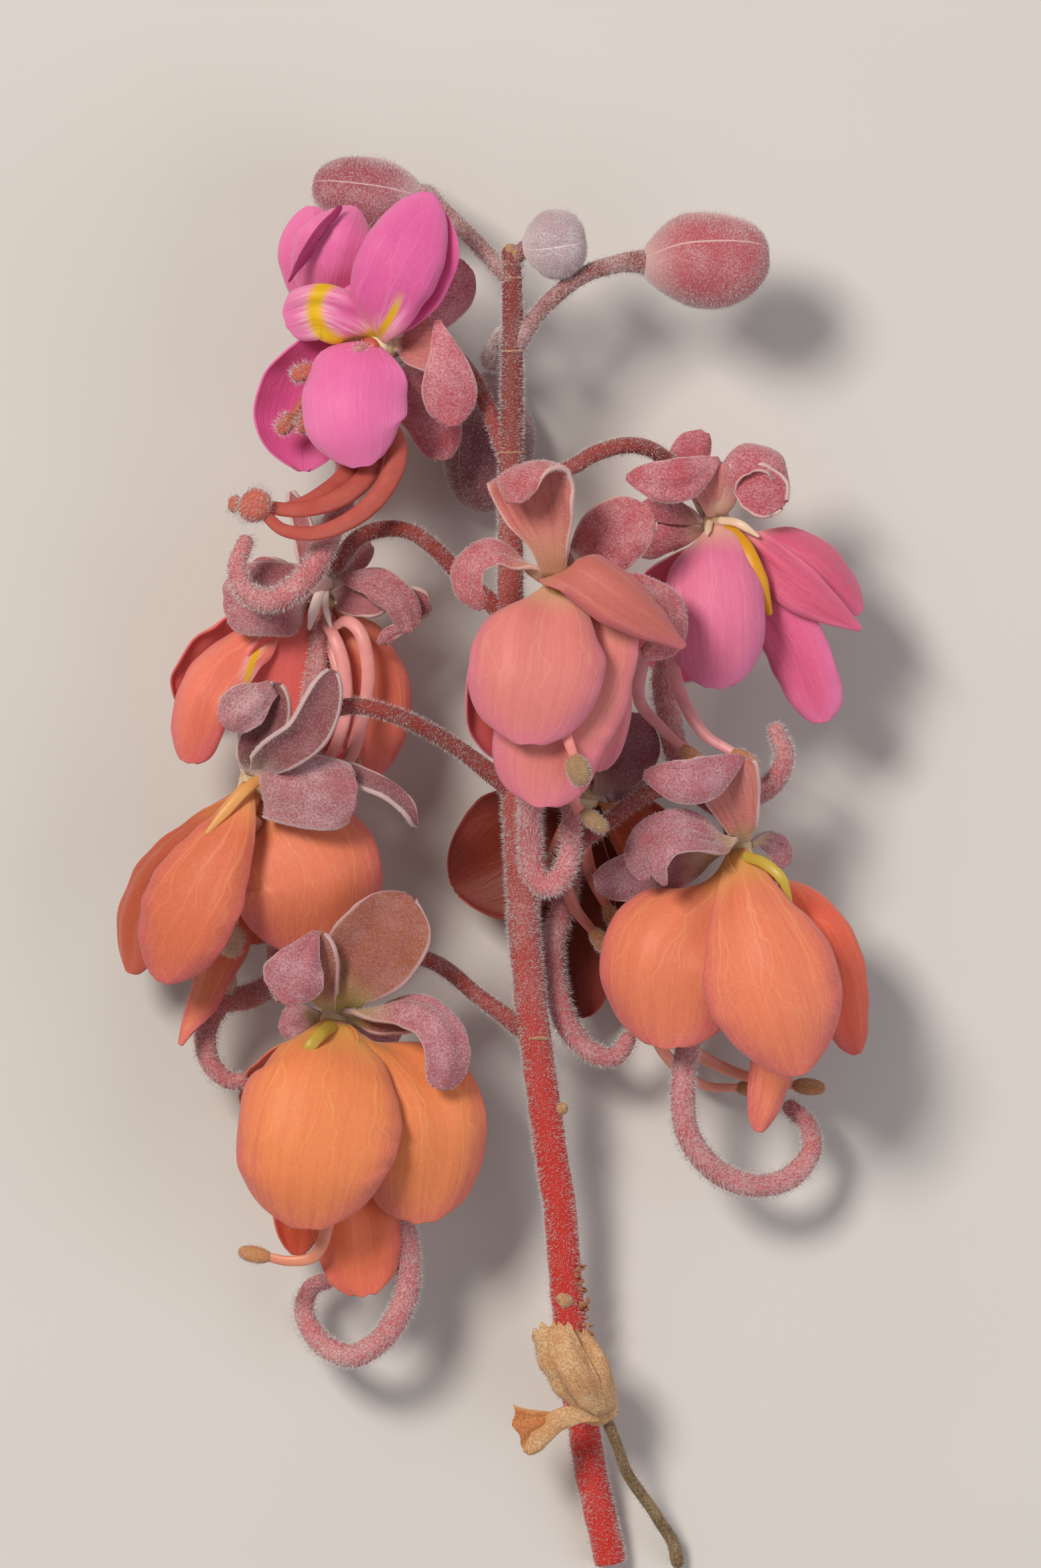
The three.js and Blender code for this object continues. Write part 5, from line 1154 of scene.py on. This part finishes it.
cushion_skin = filament_skin("pale_petal_cushion", "#dcc49a", "#ecdcb8")
for number, (letter, petals) in enumerate(PETALS.items()):
    *colours, slot = COROLLA_COLOURS[letter]
    name = f"corolla_{letter}"
    forms = ring_of_blades(
        petals, letter, PETAL_ROOT, PETAL, 300 + 10 * number, grid=PETAL_GRID,
        thick=(0.32, 0.16), ruffle=0.08, folds=0.14, curl=0.5,
    )
    plain = [form for order, form in enumerate(forms) if (letter, order) not in OWN_PETALS]
    add_piece(f"{name}_petals", plain, petal_satin(f"satin_petal_{letter}", *colours), slot, name)
    for order, form in enumerate(forms):
        if (letter, order) in OWN_PETALS:
            own, blotch = OWN_PETALS[letter, order]
            finish = petal_satin(f"own_petal_{letter}_{order}", *(own or colours), blotch)
            add_piece(f"{name}_own_petal_{order}", [form], finish, slot)
    add_piece(f"{name}_cushion", [turned(letter, PETAL_CUSHION)], cushion_skin, slot)
    for order, (colour, width, path) in enumerate(CLAWS.get(letter, [])):
        radii = [width / 2] * 3 + [width / 5]
        claw = limb(path, radii, sides=14, gap=0.2, flatness=0.45, facing=(0, 0, 1))
        finish = filament_skin(f"smooth_claw_{letter}_{order}", colour, colour)
        add_piece(f"{name}_claw_{order}", [claw], finish, slot)

# The stamens
# Each flower has some long curving filaments and some short ones, smooth, flattened and a
# little see-through, that rise from a small disc inside the petals. Each ends in a plump hairy
# anther with a slit along it.

# For each flower: the points of each stamen's filament, from above its root to the anther
STAMENS = {
    "a": [
        [(-9.3, 34.6, 16), (-8.4, 32, 16), (-7, 29.5, 16.5), (-7.5, 27, 17.4), (-9.5, 24.6, 18.4),
         (-12.5, 23.2, 19.4), (-15, 23.4, 19.8), (-16.4, 24.6, 19.9)],
        [(-9.5, 34.4, 15.6), (-9, 32, 15.4), (-8.5, 29, 16), (-9.3, 27, 17), (-11.3, 25.5, 18.2),
         (-14, 24.8, 19), (-16.7, 25.1, 19.2), (-18.2, 25.2, 19.2)],
        [(-9.6, 34.2, 15.4), (-9.8, 31, 15.2), (-10.4, 27.6, 16), (-12.2, 26, 17.4),
         (-14.4, 25, 18.6), (-16.4, 24.8, 19)],
        [(-11, 35.8, 16.2), (-13.1, 34.8, 16.6)],
        [(-11.6, 34.8, 15), (-14.4, 31.4, 15.6)],
        [(-12, 34.6, 16.2), (-13.2, 31.6, 17)],
    ],
    "b": [
        [(14.2, 20, 14), (11.2, 16, 11.8), (10.2, 11.5, 11), (11.8, 9.4, 11.6), (13.4, 7.9, 12)],
        [(15, 19.5, 14.2), (12.6, 14.6, 12.6), (13.3, 11.5, 12.2), (14.8, 9, 12.8),
         (17, 7.6, 13.4)],
        [(17.7, 19.6, 10.9), (16.8, 17, 10.2), (16.2, 15.2, 9.8)],
        [(17.3, 20.4, 11.2), (17.4, 17.6, 10.6)],
        [(16.8, 19.8, 14.4), (16.6, 17, 14.2)],
    ],
    "c": [
        [(3.6, 15.5, 25.9), (4.5, 10.5, 26.45), (5.6, 7.2, 26.6)],
        [(5, 14, 22.4), (5.6, 9, 22.1), (5.6, 5, 21.8), (5.7, 3.9, 21.6), (6.3, 3.4, 21.5)],
        [(3.2, 15, 25.9), (2.6, 12, 26.5)],
        [(2, 15.6, 22.8), (1, 12, 22.4)],
    ],
    "d": [
        [(-11.4, 16.6, 12), (-10.6, 17, 12.8), (-9.6, 16.2, 13.4), (-9, 13.6, 13.4), (-9.2, 11, 13),
         (-9.9, 8, 12.4), (-10.9, 6, 11.2)],
        [(-11.6, 16.2, 12.4), (-10.8, 14, 12.8), (-10.7, 10, 12.4), (-11.5, 7.8, 11.9),
         (-12.3, 6.6, 11.4)],
        [(-11.5, 15, 11.2), (-10.2, 10.5, 11.8), (-10.2, 7.8, 11.6)],
        [(-13, 15.8, 8), (-13.2, 13.4, 7)],
    ],
    "e": [
        [(-18.7, 2.2, 14.2), (-18.2, -1, 12.6), (-18.4, -3, 11.6), (-18.6, -4.8, 11.2)],
        [(-19.2, 2.4, 13.6), (-18.9, -2, 10.6), (-18.9, -5, 8.4), (-19, -7.6, 7.4)],
        [(-16.5, 2, 12.4), (-16, -1, 11.6)],
        [(-18.9, 1.6, 11.4), (-19.8, -1, 10.6)],
    ],
    "f": [
        [(-12.6, -16, 14), (-12.4, -20, 12.8), (-11.8, -25, 12.6), (-12.8, -28, 12.2),
         (-14.6, -28.4, 11.8), (-16.2, -28.1, 11.6)],
        [(-12, -16, 14.9), (-13.4, -21, 15)],
        [(-10.4, -15.6, 14), (-10.6, -20, 13.6)],
        [(-13, -15.6, 14), (-15, -17.6, 13.6)],
    ],
    "g": [
        [(15, -5, 9.6), (12.8, -11, 6.6), (14, -13.4, 5.8), (16.6, -14.9, 5), (19.6, -15.8, 4.6),
         (21.4, -16, 4.6)],
        [(14.4, -6, 9), (11.4, -12, 5.6), (12.6, -14.4, 4.6), (14.8, -16, 3.8), (17.4, -16.2, 3.6)],
        [(18, -3, 13.4), (18, -7, 12.8)],
        [(17.6, -3, 14.6), (18.4, -7.4, 14.8)],
    ],
    "h": [
        [(5.8, 2, 9), (4.9, -0.8, 10.5), (5.6, -3.3, 10.5), (7, -5.1, 10)],
        [(6.2, 1.6, 8.6), (6.8, -1, 9), (8, -3.4, 8.8)],
        [(5, 2.4, 8.8), (3.8, 0.2, 9.4)],
    ],
}
# Radii along a filament, its root's height and radius, and its first straight stretch
FILAMENT_RADIUS = [0.34, 0.5, 0.52, 0.46, 0.34]
BROAD_FILAMENT_RADIUS = [0.4, 0.7, 0.8, 0.72, 0.55, 0.42]
STAMEN_ROOT = (1.15, 0.76)
STAMEN_RISE = 0.9
# An anther's length and radius: on a long and a short filament, and of single ones
ANTHER_REACH = {
    "long": (2.1, 0.62),
    "short": (1.5, 0.6),
}
PLUMP_ANTHERS = {
    ("a", 0): (1.9, 1.25),
    ("a", 1): (0.7, 0.65),
    ("a", 2): (0.7, 0.6),
    ("c", 0): (2.0, 0.85),
    ("e", 0): (2.1, 0.8),
}
# How far an anther reaches back over its filament, and the length of its hairs
ANTHER_SUNK = 0.3
ANTHER_TUFT = {
    "a": 0.62,
    "e": 0.45,
}
SHORT_HAIR = 0.26
# Height and radius up the cushion that the filaments stand on
STAMEN_CUSHION = [(0.7, 0.7), (0.9, 0.85), (1.2, 0.85), (1.4, 0.5)]
# For each flower: the colour of its filaments, their paler streaks, and its anthers
FILAMENT_COLOURS = {
    "a": ("#b0463e", "#c46a5c", "#d8685c"),
    "b": ("#d88088", "#eab4b4", "#c0885c"),
    "c": ("#dc7470", "#eaa098", "#a09468"),
    "d": ("#e08484", "#ecb0a8", "#c07858"),
    "e": ("#e0907c", "#eab8a4", "#ecd8b4"),
    "f": ("#d87c5c", "#e8a488", "#d09c5c"),
    "g": ("#dc8470", "#eaaa98", "#b88858"),
    # Flower h hangs behind the stem: its filaments are darkened by painted shade
    "h": ("#b85c54", "#cc8478", "#b48450"),
}
# How wide a slit and a seam's mark are, as angles round the body
SLIT_ANGLE = 0.3
SEAM_ANGLE = 0.2


def plump(
    ends, radius, sides=20, rings=18, slit=0.0, facing=SKEW, blunt=1.0, neck=0.0, lumps=0.0, seed=0
):
    """A plump closed body between two ends, round across, with a slit or raised seam along its
    facing side. The half circle's sine to the power blunt gives its radius along, neck slims
    its first half, and the mark across is 1 on the seam and falls to 0 beside it.
    """
    low, high = np.array(ends, float)
    length = np.linalg.norm(high - low)
    axis = unit(high - low)
    first = square_to(np.array(facing, float), axis)
    turn = np.linspace(0.06, np.pi - 0.06, rings)[:, None]
    angles = (2 * np.pi * np.arange(sides) / sides)[None, :]
    rng = np.random.default_rng(seed)
    waves = sum(
        np.sin(rng.integers(1, 4) * angles + rng.uniform(1, 4) * turn + rng.uniform(0, 6.3))
        for _ in range(4)
    )
    beside = np.minimum(angles, 2 * np.pi - angles)
    groove = 1 - slit * np.exp(-((beside / SLIT_ANGLE) ** 2))
    slim = 1 - neck * (1 - rise(0, 0.45, turn / np.pi))
    thickness = radius * np.sin(turn) ** blunt * slim * groove * (1 + lumps * waves)
    outward = first * np.cos(angles)[..., None] + np.cross(axis, first) * np.sin(angles)[..., None]
    middle = (low + high) / 2 - axis * (np.cos(turn) * length / 2)
    grid = middle[:, None] + outward * thickness[..., None]
    seam = np.exp(-((beside / SEAM_ANGLE) ** 2))
    return marked(grid, outward, axis, seam, turn / np.pi, thickness, length)


for number, (letter, stamens) in enumerate(STAMENS.items()):
    centre, axis = axis_of(letter)
    filament_colour, streak_colour, anther_colour = FILAMENT_COLOURS[letter]
    filaments, anthers = [turned(letter, STAMEN_CUSHION)], []
    for order, path in enumerate(stamens):
        kind = "long" if len(path) > 2 else "short"
        root, _ = root_on(STAMEN_ROOT, path[0], centre, axis)
        points = [root, root + axis * STAMEN_RISE, *path]
        broad = letter == "a" and kind == "long"
        radii = BROAD_FILAMENT_RADIUS if broad else FILAMENT_RADIUS
        filaments.append(limb(points, radii, sides=12, gap=0.32, flatness=0.5, facing=(0, 0, 1)))
        reach, radius = PLUMP_ANTHERS.get((letter, order), ANTHER_REACH[kind])
        last, before = np.array(points[-1], float), np.array(points[-2], float)
        heading = unit(last - before)
        ends = [last - heading * ANTHER_SUNK, last + heading * reach]
        seed = 400 + 10 * number + order
        anthers.append(plump(ends, radius, slit=0.25, facing=(0.2, 0.1, 1), blunt=0.8, seed=seed))
    name = f"stamens_{letter}"
    skin = filament_skin(f"smooth_filament_{letter}", filament_colour, streak_colour)
    anther_felt = felt(
        f"hairy_anther_{letter}", anther_colour, "#ecccb4", anther_colour, "#a05c40",
        cover=(0.76, 1.15),
    )
    tuft = ANTHER_TUFT.get(letter, SHORT_HAIR)
    coat = hairs(anthers, per_mm2=34, length=tuft, width=0.034, lean=0.3, seed=450 + number)
    add_piece(f"{name}_filaments", filaments, skin, "stamen", name)
    add_piece(f"{name}_anthers", anthers, anther_felt, "stamen")
    add_piece(f"{name}_anther_hairs", [coat], white_hair, "stamen")

# The pistils
# One long ovary in each flower rises on a short foot and curls back on itself. It is thick,
# dusty pink under a dense coat of white fur, and narrows to a blunt tip.

# For each flower: the points of its ovary above its foot
PISTILS = {
    "a": [(-10.4, 33.8, 16.6), (-10.6, 31, 15.9), (-10.5, 28.5, 15), (-10.7, 26, 15.2),
        (-11.4, 24, 15.9), (-12, 22.5, 16.5), (-12.8, 20.8, 17), (-14.2, 19.2, 17.2),
        (-16, 18.4, 17.2), (-17.7, 19.1, 17.2), (-18.3, 20.8, 17.1), (-17.7, 22.5, 17)],
    "b": [(14.5, 19, 11.3), (13.2, 16, 8.9), (12, 13.4, 8), (12.3, 10.5, 8), (13, 7.5, 8),
        (14.6, 5.1, 8.5), (17.5, 4.4, 10), (19.8, 5.6, 11.5), (20.5, 7.5, 12.5), (19.9, 9.2, 13)],
    "c": [(3.6, 14.6, 22.6), (3, 10, 21.8), (2.5, 4, 19.2), (2.5, 1, 17.6), (2.7, -0.8, 17.2),
        (3.6, -1.8, 17.3), (4.8, -1, 17.6), (5.3, 1.5, 18), (5.3, 3.8, 18.2)],
    "d": [(-12.6, 14, 11), (-13, 10, 10), (-13.2, 7, 9), (-12.4, 4.9, 8), (-11, 4.2, 8)],
    "e": [(-17, 1.4, 10.6), (-16.2, -2.4, 7.4), (-15.4, -6, 5), (-15.8, -8.6, 4.6),
        (-17.5, -9.7, 5.4), (-19.5, -10.1, 6.2), (-20.6, -12, 6.4), (-20.3, -14.3, 6.4),
        (-19, -15.6, 6.4), (-17.9, -15.7, 6.4)],
    "f": [(-10.6, -16.4, 11.2), (-9, -20, 10.4), (-7, -24.4, 9.4), (-6.2, -28, 8.8),
        (-6.4, -31, 8.4), (-8, -33.9, 8.2), (-10.2, -35.2, 7.4), (-12.4, -34.3, 6),
        (-13.6, -32.1, 4.6), (-13.1, -30.4, 3.8), (-11.9, -29.9, 3.4)],
    "g": [(16.3, -3.8, 12.9), (14.8, -8.6, 11.2), (13.6, -13.5, 9.6), (13.3, -16.4, 9.4),
        (13.7, -19.5, 9), (15.5, -21.9, 8.2), (18.4, -23.1, 7.2), (21, -22.5, 6.4),
        (22.5, -20.5, 5.6), (22.1, -18.6, 4.8), (21, -17.6, 4.2)],
    "h": [(5.8, 0.5, 7.4), (4.9, -3, 8.6), (4.1, -6, 8.6), (4.3, -9, 8.2), (5.3, -12, 7.6),
        (7, -13.7, 7), (8.6, -13.9, 6.8), (9.4, -12.8, 6.6)],
}
PISTIL_RADIUS = [0.4, 0.65, 0.82, 0.86, 0.86, 0.8, 0.58]
# Height of the ovary's foot on the axis, and its first straight stretch
PISTIL_FOOT = (1.5, 0.8)

pistil_fur = felt("furry_pink_ovary", "#c4686c", "#d8a4a4", "#d0908e", "#a8545a", grain=5.0)
for number, (letter, path) in enumerate(PISTILS.items()):
    centre, axis = axis_of(letter)
    foot = centre + axis * PISTIL_FOOT[0]
    points = [foot, foot + axis * PISTIL_FOOT[1], *path]
    ovary = limb(points, PISTIL_RADIUS, sides=20, gap=0.3, lumps=0.03, seed=500 + number)
    fur = hairs([ovary], per_mm2=30, length=0.5, width=0.042, lean=0.4, seed=520 + number)
    add_piece(f"pistil_{letter}_ovary", [ovary], pistil_fur, "furry_pistil", f"pistil_{letter}")
    add_piece(f"pistil_{letter}_fur", [fur], white_hair, "furry_pistil")

# The buds
# Four closed buds, egg-shaped, wrapped in overlapping felted sepals whose margins show as pale
# raised seams. Each is grown onto its stalk.

# Each bud: its two ends, its greatest radius, and where its seam faces
BUDS = {
    "bud_1": dict(ends=[(-4.8, 46.9, 7.8), (-13, 48, 7)], radius=2.5, facing=(0.1, 0.2, 0.95)),
    "bud_2": dict(ends=[(1.9, 43.4, 14.4), (6.4, 44, 14.7)], radius=2.5, facing=(0, -0.15, 1)),
    "bud_3": dict(ends=[(10.2, 42.3, 13.2), (19.4, 42.9, 12.4)], radius=3.4, facing=(0, 0.4, 0.9)),
    "bud_4": dict(ends=[(-0.2, 34.8, 4.6), (-0.8, 24.8, 2.9)], radius=3.2, facing=(-0.7, 0, 0.7)),
}
# For each bud: the colour of the skin, fuzz, seam, shaded skin and foot
BUD_COLOURS = {
    "bud_1": ("#a84a56", "#c89aa2", "#e2c8c6", "#883e4a", "#d8c0be"),
    "bud_2": ("#ba9ca2", "#dcd6d8", "#f0e6e8", "#a88c92", "#dcd4d4"),
    "bud_3": ("#c05860", "#d09a9e", "#e6c8c4", "#a04650", "#dcc0be"),
    # bud_4 lies behind the stem under flower a: its dark colours are painted shade
    "bud_4": ("#8c4c56", "#a07078", "#b89494", "#64343c", "#a08488"),
}

for number, (name, bud) in enumerate(BUDS.items()):
    body = plump(
        **bud, sides=40, rings=36, slit=0.07, blunt=0.8, neck=0.45, lumps=0.015,
        seed=600 + number,
    )
    *colours, neck = BUD_COLOURS[name]
    finish = felt(f"felted_{name}", *colours, foot=neck, cover=(0.6, 1.05), sheen=0.8)
    coat = hairs([body], per_mm2=28, length=0.28, width=0.036, lean=0.35, seed=620 + number)
    add_piece(f"{name}_body", [body], finish, "felted_sepal", name)
    add_piece(f"{name}_hairs", [coat], white_hair, "felted_sepal")

# The withered flower
# The dried calyx of a fallen flower hangs at the foot of the stem: a tan urn of overlapping
# wrinkled sepals, torn open at the top, one papery sepal folded out to the left, and its own
# dry hairy stalk down to the right.

# The urn's ends and radius, and its sepals, strap and wing as blades with their outlines
DRY_BODY = dict(ends=[(4.8, -33.8, 8), (8, -39.9, 6.6)], radius=1.75)
DRY_SEPALS = [
    dict(width=2.9, facing=(-0.4, -0.2, 0.9), points=[(7, -39.3, 8.2), (5.2, -37.2, 9.8),
        (3.9, -35, 10), (3.2, -33.1, 9.2)]),
    dict(width=2.6, facing=(0, 0, 1), points=[(7.5, -39.2, 8.6), (6.1, -36.8, 10.6),
        (5, -34.8, 10.8), (4.5, -33, 10)]),
    dict(width=2.6, facing=(0.4, 0.2, 0.9), points=[(8, -39, 8.2), (7.5, -37, 9.6),
        (6.6, -34.8, 9.8), (5.8, -33.5, 9)]),
]
DRY_OUTLINE = [(0, 0.3), (0.2, 0.75), (0.5, 1), (0.8, 0.95), (1, 0.7)]
DRY_STRAP = dict(width=1.5, points=[(7.5, -39.6, 7.8), (5.9, -39.4, 8.6), (4.4, -39.8, 8.9),
    (2.2, -42.1, 8.4)])
DRY_WING = dict(width=3.9, points=[(4.9, -39.5, 8.6), (3.2, -40, 8.7), (1.5, -40.6, 8.2)])
DRY_WING_OUTLINE = [(0, 0.12), (0.5, 0.5), (1, 1)]
# The points of its stalk and the radii along it
DRY_STALK = [(7.7, -39.2, 6.8), (8.6, -41.5, 6.2), (9.5, -43.8, 4.6), (11.3, -46.4, 2.8),
    (12.6, -48.6, 1.5), (13, -49.95, 1)]
DRY_STALK_RADIUS = [0.42, 0.4, 0.42, 0.42, 0.48]

dry_felt = felt(
    "dry_tan_calyx", "#d89e6a", "#e8c49a", "#d09864", "#a07044", "#b87c40", sheen=0.2
)
dry_paper = felt("dry_brown_sepal", "#cc763a", "#d89e6c", "#d8a478", "#90491f", "#b0642c")
dry_bark = felt("dry_brown_stalk", "#74583a", "#a8906c", "#846c4c", "#4c3420", sheen=0.2)
dry_hair = hair_finish("tan_dry_hair", "#94744c", "#c8b08c")
body = plump(
    **DRY_BODY, sides=36, rings=36, slit=0.2, facing=(0.2, 0, 1), blunt=0.6, lumps=0.05, seed=701
)
sepals = [
    blade(
        claw_side=None, **sepal, outline=DRY_OUTLINE, grid=SEPAL_GRID, cup=0.7,
        thick=(0.3, 0.2), ruffle=0.12, folds=0.2, torn=0.3, seed=710 + number,
    )
    for number, sepal in enumerate(DRY_SEPALS)
]
strap = blade(
    claw_side=None, **DRY_STRAP, outline=STRAP, grid=SEPAL_GRID, thick=(0.4, 0.25), seed=702
)
wing = blade(
    claw_side=None, **DRY_WING, outline=DRY_WING_OUTLINE, grid=SEPAL_GRID, cup=0.3,
    thick=(0.3, 0.2), ruffle=0.08, folds=0.2, torn=0.1, seed=703,
)
stalk = limb(DRY_STALK, DRY_STALK_RADIUS, sides=14, gap=0.26, lumps=0.08, seed=704)
coat = hairs([*sepals, strap, stalk], per_mm2=18, length=0.3, width=0.036, lean=0.3, seed=705)
add_piece("withered_body", [body, *sepals, strap], dry_felt, "dry_flower", "withered_flower")
add_piece("withered_wing", [wing], dry_paper, "dry_flower")
add_piece("withered_stalk", [stalk], dry_bark, "dry_flower")
add_piece("withered_hairs", [coat], dry_hair, "dry_flower")
